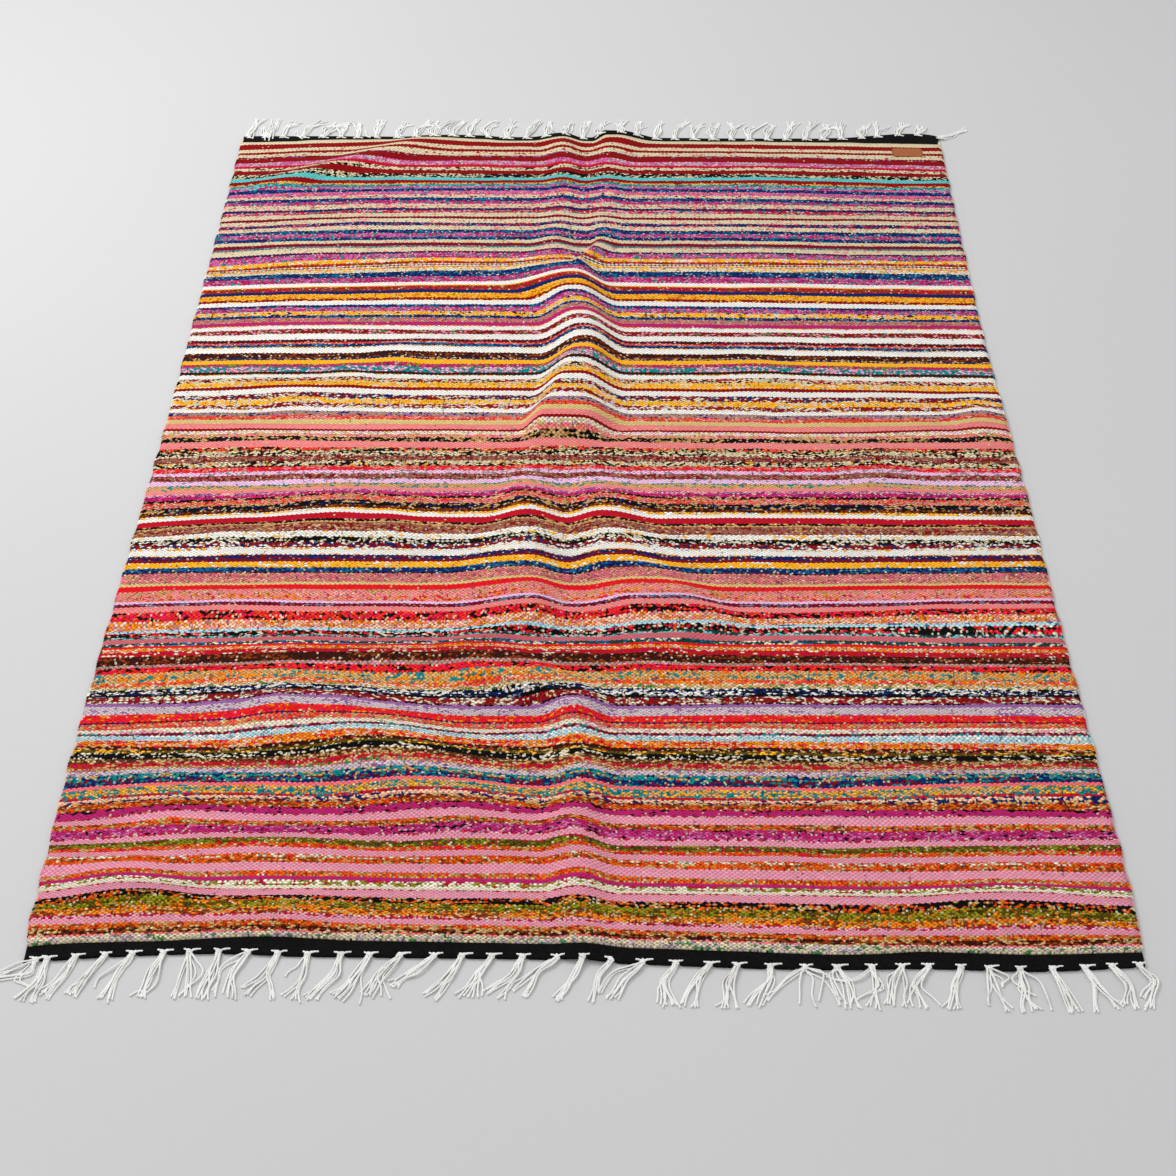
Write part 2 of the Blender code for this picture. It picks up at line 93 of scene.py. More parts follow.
# Centre folds: one row for each section across the rug. A section has up to two crests side by
# side, each with its place, height, half of its flat top and how far it falls to left and right.
Section = namedtuple(
    "Section",
    "y left_x left_z left_top left_a left_b right_x right_z right_top right_a right_b",
)
CENTRE_SECTIONS_MM = tuple(Section(*row) for row in (
    (-1010, 0, 3, 0, 50, 50, 60, 0, 0, 40, 40),
    (-980, 0, 5, 0, 50, 50, 60, 0, 0, 40, 40),
    (-935, -10, 8, 0, 52, 52, 60, 0, 0, 40, 40),
    (-882, -10, 17, 0, 55, 55, 60, 0, 0, 40, 40),
    (-840, -10, 18, 0, 56, 56, 60, 0, 0, 40, 40),
    (-797, -20, 22, 0, 58, 58, 60, 0, 0, 40, 40),
    (-750, -15, 17, 0, 56, 56, 60, 0, 0, 40, 40),
    (-703, -5, 17, 0, 55, 55, 60, 0, 0, 40, 40),
    (-640, -15, 13, 0, 55, 58, 60, 0, 0, 40, 40),
    (-603, -20, 21, 0, 55, 58, 60, 0, 0, 40, 40),
    (-575, -20, 24, 0, 55, 58, 60, 0, 0, 40, 40),
    (-550, -30, 18, 15, 60, 60, 70, 0, 0, 50, 50),
    (-510, -100, 13, 45, 60, 65, 80, 1, 0, 60, 60),
    (-475, -140, 8, 30, 60, 70, 90, 3, 0, 60, 70),
    (-440, -165, 6, 10, 60, 80, 100, 6, 10, 80, 80),
    (-400, -90, 14, 0, 110, 60, 132, 12, 45, 90, 75),
    (-350, -85, 19, 0, 130, 58, 100, 19, 32, 85, 90),
    (-310, -90, 18, 0, 140, 60, 87, 15, 18, 85, 95),
    (-270, -95, 17, 0, 140, 66, 40, 16, 14, 62, 100),
    (-232, -95, 16, 0, 120, 66, 34, 14, 6, 62, 105),
    (-150, -100, 18, 0, 66, 68, 20, 16, 0, 62, 92),
    (-100, -105, 13, 0, 60, 68, 20, 10, 0, 60, 85),
    (-60, -108, 7, 0, 52, 60, 5, 6, 0, 50, 62),
    (-20, -80, 4, 10, 50, 60, 0, 3, 0, 50, 60),
    (12, -58, 5, 20, 48, 52, 20, 2, 0, 50, 60),
    (30, -48, 9, 33, 44, 55, 60, 2, 0, 50, 60),
    (42, -47, 23, 33, 44, 58, 70, 2, 0, 50, 60),
    (56, -46, 33, 32, 43, 66, 90, 1, 0, 50, 60),
    (90, -44, 35, 30, 45, 82, 100, 0, 0, 50, 60),
    (118, -40, 37, 18, 50, 86, 100, 0, 0, 50, 60),
    (170, -31, 38, 12, 56, 82, 100, 0, 0, 50, 60),
    (210, -24, 38, 8, 64, 76, 90, 0, 0, 50, 60),
    (253, -13, 39, 4, 74, 70, 80, 0, 0, 50, 60),
    (288, -12, 40, 4, 80, 74, 80, 0, 0, 50, 60),
    (350, -20, 36, 4, 78, 78, 70, 0, 0, 50, 60),
    (390, -29, 35, 6, 70, 74, 50, 0, 0, 50, 60),
    (432, -32, 35, 6, 84, 76, 30, 0, 0, 40, 60),
    (480, -31, 31, 0, 140, 68, 0, 0, 0, 20, 50),
    (520, -34, 22, 0, 150, 46, -24, 8, 0, 14, 46),
    (545, -48, 10, 5, 110, 30, -18, 18, 0, 12, 46),
    (565, -56, 8, 5, 80, 34, -7, 18, 0, 12, 42),
    (590, -64, 8, 0, 62, 40, 5, 13, 0, 14, 42),
    (618, -70, 9, 0, 55, 44, 14, 9, 0, 18, 45),
    (655, -66, 7, 0, 52, 42, 19, 7, 0, 28, 48),
    (700, -60, 5, 0, 50, 40, 20, 5, 0, 38, 50),
    (770, -57, 7, 0, 50, 40, 24, 6, 0, 38, 52),
    (845, -55, 8, 0, 50, 40, 25, 6, 0, 38, 55),
    (900, -58, 10, 0, 50, 44, 30, 9, 0, 42, 58),
    (945, -60, 12, 0, 50, 45, 35, 12, 0, 46, 60),
    (975, -60, 11, 0, 62, 42, 37, 15, 8, 32, 76),
    (1010, -60, 11, 0, 75, 40, 38, 18, 18, 26, 90),
))

# Slanting folds: each runs through its points, with its height and how far it falls on the side
# to the left of its way and on the side to the right
FoldPoint = namedtuple("FoldPoint", "x y z left right")
FOLDS_MM = (
    (
        FoldPoint(-500, -560, 5, 90, 90),
        FoldPoint(-430, -580, 17, 120, 110),
        FoldPoint(-350, -605, 22, 130, 120),
        FoldPoint(-300, -640, 24, 135, 120),
        FoldPoint(-240, -695, 22, 135, 120),
        FoldPoint(-170, -750, 17, 120, 110),
        FoldPoint(-100, -795, 7, 90, 90),
    ),
    (
        FoldPoint(-230, 990, 3, 50, 55),
        FoldPoint(-300, 980, 5, 55, 50),
        FoldPoint(-370, 948, 10, 52, 50),
        FoldPoint(-440, 908, 12, 50, 48),
        FoldPoint(-500, 870, 13, 40, 48),
        FoldPoint(-560, 836, 13, 28, 50),
        FoldPoint(-640, 805, 5, 45, 50),
    ),
)

# Swells: low rounded mounds, each with its half lengths and the turn of its long axis
Swell = namedtuple("Swell", "x y z half_long half_wide turn_deg")
SWELLS_MM = tuple(Swell(*row) for row in (
    (-600, -885, 16, 115, 62, 0),
    (-400, -930, 8, 120, 48, 4),
    (555, -905, 12, 180, 68, 0),
    (-400, -150, 9, 150, 105, 0),
    (-310, -190, 6, 60, 60, 0),
    (650, 95, 10, 62, 95, 0),
    (470, -45, 7, 95, 90, 0),
    (280, 215, 3, 95, 90, 0),
    (-500, 125, 5, 80, 70, 0),
    (-340, 250, 5, 70, 70, 0),
    (-410, 205, 4, 60, 60, 0),
    (615, 1005, 5, 115, 42, 0),
))

# Stripe drift: how much further back than its charted place a stripe lies, at places across
# the rug, in rows from the front end to the back
CHART_HEIGHT = 6.2 * MM
DRIFT_PLACES_MM = (-710, -670, -560, -440, -300, 275, 320, 600, 700)
DRIFT_MM = (
    (-984, (4, 6, 12, 18, 17, 1, -1, 1, 5)),
    (-930, (7, 8, 12, 11, 12, -1, -3, -1, -1)),
    (-905, (-1, 3, 15, 8, 7.5, 2, 1.5, 0, 0)),
    (-886, (-5, -4, 0, 2.5, 4.5, -4, -5, -4.5, -5)),
    (-870, (-4, -2, 3, 8, 7, -2, -3, -2, -2)),
    (-846, (5, 5, 4, 11, 9, 2, 0.5, 4, 5)),
    (-816, (-9, -6, 3, 13, 5, -3, -6, 5, 6)),
    (-792, (-11, -6.5, 5, 7, 4.5, 1, -0.5, 4, 5)),
    (-779, (-17, -11.5, 4.5, 2, 1.5, -2, -1.5, 2, 2)),
    (-766, (-15, -9, 9.5, 0.5, 1, 2, 4, 4, 5)),
    (-742, (-16, -11.5, 2, 0.5, -4.5, -3.5, -3, 2, 2)),
    (-730, (-16, -12, -0.5, -3, -4.5, -5, -5, 6, 7)),
    (-706, (-11, -8.5, -0.5, 1, -6, -4, -5, 7, 8)),
    (-690, (-10, -8, -1, -0.5, -4.5, -2, -3, 8, 10)),
    (-653, (-8, -8, -8, -5, -2, -3, -4, -2, -2)),
    (-627, (-13, -12, -8, -5, -5, -3, -4, -4, -5)),
    (-616, (-16, -13, -5.5, -7, -6.5, -3, -4, 1.5, 2)),
    (-577, (-9, -9, -8, 1, -11, -2, -3, -1, -1)),
    (-553, (-13, -12, -8.5, -1, -11.5, -4, -4.5, 0, 0)),
    (-540, (-20, -17.5, -10, -8, -15, -4, -4.5, -1, -1)),
    (-526, (-23, -19.5, -9, -12.5, -17, -4, -4, -4.5, -5)),
    (-480, (-16, -14, -9, -3, -3, 0, 0.5, 0, 0)),
    (-462, (-16, -13, -5.5, 2, 5.5, -2, -2, -2, -2)),
    (-418, (-24, -22, -17, -12, -14.5, -2, 0, -4, -5)),
    (-394, (-13, -12, -9, -9, -9, 0, 2, 7, 8)),
    (-372, (-8, -6, -1.5, -3, 0, 1, 2.5, 13.5, 16)),
    (-343, (-12, -9, -1.5, -3.5, -3.5, 0, 1, 12, 14)),
    (-306, (-8, -7, -3, -1, -1, 0, 0, 5, 6)),
    (-263, (-9, -8, -5.5, -0.5, -1.5, 1, 0, 9, 11)),
    (-230, (-11, -9, -3, -4, -6, -1, -3, 3, 4)),
    (-197, (-20, -15, 0.5, 0.5, -2.5, 0, -0.5, 1, 1)),
    (-150, (-23, -19, -8, -3, 0, 0, 2, 0, 0)),
    (-84, (-15, -14, -12, -6, -3, 0, 0, 0, 0)),
    (-33, (-14, -12, -6, -1, -1, 2, 0, 1, 1)),
    (62, (-3, -2, 2, 0, 0, 0, -2, 7, 8)),
    (115, (-4, -4.5, -4.5, 2.5, 3.5, 0, -3.5, 1.5, 2)),
    (174, (-10, -6, 5, 8, 1, 2, 4, -1, -1)),
    (213, (-12, -11, -7, -6, -7, 0, 0, -6, -7)),
    (284, (-5, -4, -1, 1, 6, 0, -1, -2, -2)),
    (346, (-10, -7, 2, 4, 4, 0, 0, 0, 0)),
    (426, (-16, -13.5, -5, -2, 4, 0, -1, -5, -6)),
    (487, (-24, -20, -10, -7, 1.5, 0, 1, -4, -5)),
    (519, (-37, -33, -21, -13, 0, 0, 0, -2.5, -3)),
    (588, (-21, -17.5, -8, -4, 1, 0, 1, -4.5, -5)),
    (635, (-21, -17.5, -8.5, -4, -0.5, 0, -1.5, -6, -7)),
    (681, (-23, -19, -8, 1, 0, 0, 0, -0.5, -1)),
    (704, (-20, -18, -11.5, -2, 1.5, 0, 0.5, -3.5, -4)),
    (735, (-17, -15.5, -12, -2.5, -3, 0, 1.5, -5, -6)),
    (770, (-20, -17.5, -11.5, -5, 1, 0, 0, -9.5, -11)),
    (846, (-15, -13.5, -7, -5.5, -4.5, 0, 3, -4, -5)),
    (870, (-15, -14, -4, 1, -4, 0, 1.5, -8, -10)),
    (901, (-16, -14, -3, 0, 1, 0, 0, -9, -11)),
    (919, (-18, -15, -6, -2, 0, 0, 0, -6, -7)),
    (941, (-18, -15, -5, 3, 3.5, 0, 0, -6, -7)),
    (968, (-10, -9, -5, 3, 2, 0, 0, -8, -10)),
)

# Weave: the weft's floats lie like bricks over the hidden warp
PICK = 2.6
FLOAT_PITCH = 7.5
FLOAT_HALF_LENGTH = 3.75
FLOAT_HALF_HEIGHT = 2.0
FLECK_LENGTH = 3.0
RUN_SHARE, FLECK_SHARE = 0.35, 0.35
PEPPER_PALE, PEPPER_DARK = 0.004, 0.003
WEAVE_LIGHTNESS = 1.16
BLACK_PICK = 1.7
BLACK_FLOAT_PITCH = 5.0
BLACK_FLOAT_HALF_LENGTH = 2.6
BLACK_FLOAT_HALF_HEIGHT = 1.3

# Yarn colours, as seen in even light (sRGB)
YARNS = {
    "white": (0.93, 0.92, 0.89),
    "cream": (0.90, 0.86, 0.76),
    "sand": (0.86, 0.80, 0.66),
    "khaki": (0.84, 0.75, 0.48),
    "tan": (0.80, 0.62, 0.38),
    "taupe": (0.66, 0.52, 0.46),
    "grey": (0.55, 0.53, 0.54),
    "slate": (0.42, 0.46, 0.58),
    "black": (0.025, 0.02, 0.03),
    "brown": (0.38, 0.18, 0.08),
    "dark_brown": (0.22, 0.06, 0.03),
    "rust": (0.55, 0.22, 0.04),
    "burnt": (0.87, 0.34, 0.03),
    "orange": (0.94, 0.50, 0.05),
    "gold": (0.99, 0.70, 0.12),
    "olive": (0.55, 0.53, 0.08),
    "dark_olive": (0.36, 0.29, 0.04),
    "green": (0.25, 0.55, 0.30),
    "dark_green": (0.06, 0.26, 0.22),
    "teal": (0.02, 0.52, 0.54),
    "aqua": (0.36, 0.76, 0.76),
    "pale_blue": (0.68, 0.83, 0.87),
    "blue": (0.02, 0.42, 0.62),
    "navy": (0.03, 0.13, 0.38),
    "purple": (0.60, 0.38, 0.62),
    "lilac_grey": (0.80, 0.72, 0.75),
    "pale_lilac": (0.92, 0.74, 0.88),
    "orchid": (0.82, 0.38, 0.62),
    "magenta": (0.72, 0.13, 0.41),
    "hot_pink": (0.86, 0.16, 0.46),
    "pink": (0.90, 0.58, 0.66),
    "dusty_rose": (0.80, 0.40, 0.44),
    "salmon": (0.93, 0.52, 0.51),
    "peach": (0.95, 0.74, 0.62),
    "coral": (0.97, 0.43, 0.46),
    "vermilion": (0.90, 0.27, 0.17),
    "bright_red": (0.90, 0.06, 0.12),
    "crimson": (0.75, 0.05, 0.15),
    "dark_red": (0.55, 0.0, 0.03),
    "wine": (0.48, 0.02, 0.15),
    "rosewood": (0.62, 0.37, 0.31),
}

# The chart is read in parts, since a ramp takes few stripes, up to where the cloth has ended
CHART_PARTS = 8
CHART_END_MM = 1010

# Stripes from the front end to the back: where each starts along the cloth, its ground yarn, and
# the yarns that fleck it with their share of the floats
STRIPES_MM = (
    (-990, "sand", ("lilac_grey", 0.35), ("green", 0.08)),
    (-973, "coral", ("sand", 0.35)),
    (-970, "dark_brown", ("tan", 0.22), ("rust", 0.35)),
    (-960, "burnt", ("tan", 0.30), ("rust", 0.15)),
    (-952, "pink"),
    (-944, "pink", ("crimson", 0.45)),
    (-941, "orange", ("rust", 0.30), ("tan", 0.20)),
    (-930, "olive", ("dark_olive", 0.35), ("orange", 0.18)),
    (-917, "black", ("burnt", 0.30), ("tan", 0.12)),
    (-907, "gold", ("black", 0.40)),
    (-905, "pink"),
    (-895, "pink", ("crimson", 0.50)),
    (-892, "cream"),
    (-885, "cream", ("olive", 0.30), ("crimson", 0.15)),
    (-879, "magenta"),
    (-872, "burnt", ("tan", 0.35)),
    (-865, "pink"),
    (-851, "burnt", ("rust", 0.25), ("tan", 0.12)),
    (-843, "burnt", ("cream", 0.35)),
    (-840, "pink"),
    (-827, "burnt", ("bright_red", 0.25), ("tan", 0.20)),
    (-822, "dark_olive", ("olive", 0.40), ("crimson", 0.12)),
    (-811, "pink"),
    (-802, "pink", ("crimson", 0.40)),
    (-799, "magenta", ("orchid", 0.25), ("black", 0.08)),
    (-785, "burnt", ("rust", 0.30), ("tan", 0.25)),
    (-773, "pink"),
    (-763, "pink", ("crimson", 0.35)),
    (-760, "magenta", ("black", 0.08)),
    (-751, "magenta", ("black", 0.35)),
    (-748, "burnt", ("rust", 0.35), ("tan", 0.10)),
    (-737, "tan", ("wine", 0.25), ("navy", 0.25)),
    (-733, "peach", ("navy", 0.25)),
    (-726, "crimson", ("teal", 0.20)),
    (-722, "tan", ("teal", 0.30), ("gold", 0.25)),
    (-710, "coral"),
    (-703, "navy", ("wine", 0.30), ("teal", 0.25)),
    (-694, "teal", ("tan", 0.30), ("navy", 0.15)),
    (-686, "lilac_grey", ("purple", 0.20)),
    (-678, "tan", ("dusty_rose", 0.35), ("green", 0.10)),
    (-672, "crimson", ("tan", 0.25)),
    (-664, "brown", ("tan", 0.40)),
    (-658, "black", ("cream", 0.30)),
    (-648, "dark_olive", ("gold", 0.25)),
    (-641, "dark_brown", ("tan", 0.25), ("crimson", 0.15)),
    (-633, "orange", ("bright_red", 0.25), ("peach", 0.25)),
    (-621, "pale_blue", ("white", 0.30)),
    (-611, "wine", ("teal", 0.15), ("pink", 0.15)),
    (-606, "cream", ("pink", 0.15)),
    (-598, "vermilion", ("tan", 0.25), ("dusty_rose", 0.20)),
    (-587, "wine", ("navy", 0.35)),
    (-583, "bright_red", ("orange", 0.10)),
    (-570, "lilac_grey", ("purple", 0.15)),
    (-556, "purple"),
    (-550, "black", ("purple", 0.40)),
    (-547, "dark_red", ("cream", 0.30)),
    (-534, "black", ("slate", 0.15)),
    (-528, "navy", ("white", 0.35), ("black", 0.30)),
    (-518, "tan", ("cream", 0.30), ("green", 0.12)),
    (-509, "vermilion", ("orange", 0.30), ("peach", 0.25)),
    (-500, "tan", ("orange", 0.25), ("teal", 0.15)),
    (-485, "bright_red", ("black", 0.22)),
    (-475, "taupe", ("pink", 0.20)),
    (-469, "dark_brown", ("rust", 0.30)),
    (-455, "crimson", ("cream", 0.08)),
    (-443, "orange", ("peach", 0.40)),
    (-435, "bright_red"),
    (-430, "dark_green", ("blue", 0.20), ("cream", 0.22)),
    (-424, "dusty_rose"),
    (-413, "dark_green", ("aqua", 0.30), ("lilac_grey", 0.20)),
    (-407, "black", ("bright_red", 0.30), ("cream", 0.15)),
    (-397, "pale_blue", ("blue", 0.12)),
    (-391, "peach", ("orange", 0.35), ("salmon", 0.20)),
    (-378, "bright_red", ("black", 0.32)),
    (-366, "salmon"),
    (-356, "wine", ("slate", 0.25)),
    (-348, "pale_lilac"),
    (-341, "salmon", ("orange", 0.25), ("bright_red", 0.10)),
    (-330, "salmon", ("tan", 0.25)),
    (-320, "bright_red"),
    (-309, "khaki"),
    (-303, "dusty_rose", ("salmon", 0.30), ("tan", 0.15)),
    (-282, "brown", ("black", 0.40)),
    (-279, "navy", ("blue", 0.35)),
    (-270, "gold", ("white", 0.12)),
    (-256, "wine"),
    (-251, "navy", ("wine", 0.40)),
    (-241, "white", ("gold", 0.45)),
    (-238, "white"),
    (-227, "white", ("gold", 0.25)),
    (-224, "dark_red", ("white", 0.25), ("navy", 0.20)),
    (-212, "black", ("cream", 0.35)),
    (-201, "white", ("gold", 0.12)),
    (-193, "rosewood", ("dark_red", 0.25), ("tan", 0.12)),
    (-175, "tan"),
    (-172, "black", ("tan", 0.30)),
    (-166, "crimson"),
    (-154, "white"),
    (-144, "gold", ("white", 0.30)),
    (-141, "rust", ("dark_brown", 0.40)),
    (-131, "black", ("tan", 0.22), ("navy", 0.15)),
    (-120, "vermilion", ("salmon", 0.35), ("tan", 0.20)),
    (-106, "black", ("tan", 0.35)),
    (-101, "hot_pink", ("magenta", 0.40)),
    (-93, "pink", ("purple", 0.40)),
    (-89, "salmon"),
    (-79, "tan", ("teal", 0.15)),
    (-72, "teal", ("tan", 0.50)),
    (-69, "pale_lilac", ("grey", 0.10)),
    (-58, "rosewood", ("dark_red", 0.35)),
    (-47, "pale_lilac", ("grey", 0.18)),
    (-38, "bright_red", ("salmon", 0.25)),
    (-29, "black", ("tan", 0.40)),
    (-26, "sand", ("black", 0.35), ("gold", 0.10)),
    (-15, "rosewood", ("dark_red", 0.40)),
    (-1, "sand", ("black", 0.30), ("rosewood", 0.12)),
    (8, "khaki", ("black", 0.45)),
    (12, "vermilion", ("black", 0.35), ("khaki", 0.20)),
    (18, "salmon"),
    (34, "black", ("tan", 0.35)),
    (46, "coral", ("tan", 0.30), ("peach", 0.20)),
    (53, "cream", ("pale_lilac", 0.20), ("khaki", 0.20)),
    (59, "dark_red"),
    (66, "salmon"),
    (80, "khaki"),
    (88, "vermilion", ("salmon", 0.30)),
    (100, "taupe", ("navy", 0.15), ("purple", 0.15)),
    (110, "white"),
    (118, "white", ("gold", 0.25)),
    (121, "dark_red", ("cream", 0.25), ("pale_lilac", 0.12)),
    (131, "gold", ("cream", 0.25)),
    (144, "dark_red", ("navy", 0.25), ("cream", 0.25)),
    (157, "white"),
    (169, "dark_red"),
    (178, "gold", ("cream", 0.22)),
    (193, "sand", ("crimson", 0.30), ("black", 0.15)),
    (207, "white"),
    (216, "white", ("gold", 0.35)),
    (219, "dark_brown"),
    (226, "teal", ("pink", 0.25), ("pale_lilac", 0.18)),
    (240, "magenta", ("olive", 0.25)),
    (248, "gold"),
    (257, "navy", ("tan", 0.40)),
    (264, "dark_brown", ("rust", 0.25)),
    (277, "white"),
    (290, "gold", ("white", 0.40)),
    (293, "navy", ("blue", 0.35)),
    (300, "vermilion", ("salmon", 0.40)),
    (306, "wine", ("dark_brown", 0.50)),
    (312, "white"),
    (328, "dark_red", ("pink", 0.20), ("green", 0.10)),
    (342, "white"),
    (351, "gold", ("white", 0.35)),
    (354, "magenta"),
    (364, "dusty_rose", ("taupe", 0.30), ("tan", 0.15)),
    (377, "navy", ("blue", 0.30)),
    (386, "gold", ("cream", 0.25), ("black", 0.08)),
    (398, "orchid", ("magenta", 0.35), ("teal", 0.15)),
    (410, "navy", ("blue", 0.25), ("wine", 0.15)),
    (420, "white"),
    (432, "dark_red", ("gold", 0.12)),
    (440, "gold", ("orange", 0.20)),
    (455, "navy"),
    (465, "crimson", ("rust", 0.35)),
    (478, "gold"),
    (481, "white"),
    (493, "magenta", ("orchid", 0.30), ("teal", 0.12)),
    (511, "navy", ("blue", 0.35)),
    (527, "cream", ("gold", 0.25)),
    (539, "gold", ("salmon", 0.30)),
    (543, "cream", ("gold", 0.15)),
    (546, "wine", ("navy", 0.40)),
    (549, "cream", ("gold", 0.15)),
    (553, "crimson", ("rust", 0.40)),
    (559, "gold", ("white", 0.20)),
    (571, "orchid", ("magenta", 0.30), ("teal", 0.20)),
    (585, "navy", ("wine", 0.35)),
    (591, "sand", ("salmon", 0.08)),
    (605, "teal", ("grey", 0.50)),
    (609, "wine"),
    (619, "sand", ("salmon", 0.08), ("gold", 0.08)),
    (631, "navy", ("blue", 0.30)),
    (640, "orchid", ("magenta", 0.35), ("teal", 0.22)),
    (654, "navy", ("blue", 0.35)),
    (664, "sand", ("salmon", 0.18)),
    (677, "navy", ("crimson", 0.20), ("purple", 0.15)),
    (686, "sand", ("salmon", 0.14)),
    (700, "wine"),
    (709, "sand", ("salmon", 0.10)),
    (722, "crimson", ("pink", 0.30), ("teal", 0.15)),
    (731, "navy", ("dark_red", 0.15)),
    (740, "sand", ("salmon", 0.22), ("magenta", 0.06)),
    (755, "magenta", ("orchid", 0.30), ("teal", 0.15)),
    (765, "navy", ("blue", 0.25)),
    (776, "sand", ("coral", 0.22), ("black", 0.06)),
    (786, "orchid", ("coral", 0.30), ("purple", 0.20)),
    (799, "navy", ("blue", 0.20)),
    (809, "orchid", ("magenta", 0.25), ("aqua", 0.10)),
    (818, "teal", ("aqua", 0.35)),
    (825, "tan", ("gold", 0.25), ("dark_red", 0.20)),
    (830, "dark_red"),
    (841, "aqua"),
    (850, "black", ("sand", 0.40)),
    (863, "dark_red"),
    (877, "sand", ("black", 0.20)),
    (888, "crimson"),
    (895, "orchid", ("lilac_grey", 0.30)),
    (908, "dark_red"),
    (924, "wine", ("purple", 0.20)),
    (930, "sand", ("crimson", 0.08)),
    (941, "dark_red"),
    (950, "sand", ("salmon", 0.08)),
    (961, "dark_red"),
    (975, "sand"),
)

# Cloth mesh: how close its columns lie over the middle folds and elsewhere, and its rows
FINE_COLUMN_STEP = 5.0 * MM
COLUMN_STEP = 9.0 * MM
FINE_HALF_WIDTH = 220 * MM
CLOTH_ROWS = 232
BAND_ROWS, BAND_COLUMNS = 8, 471
EDGE_ROUNDING = 1.3 * MM
BAND_EDGE_ROUNDING = 0.8 * MM
CLOTH_HALF_WIDTH = 0.705
PIECE_GAP = 0.3 * MM

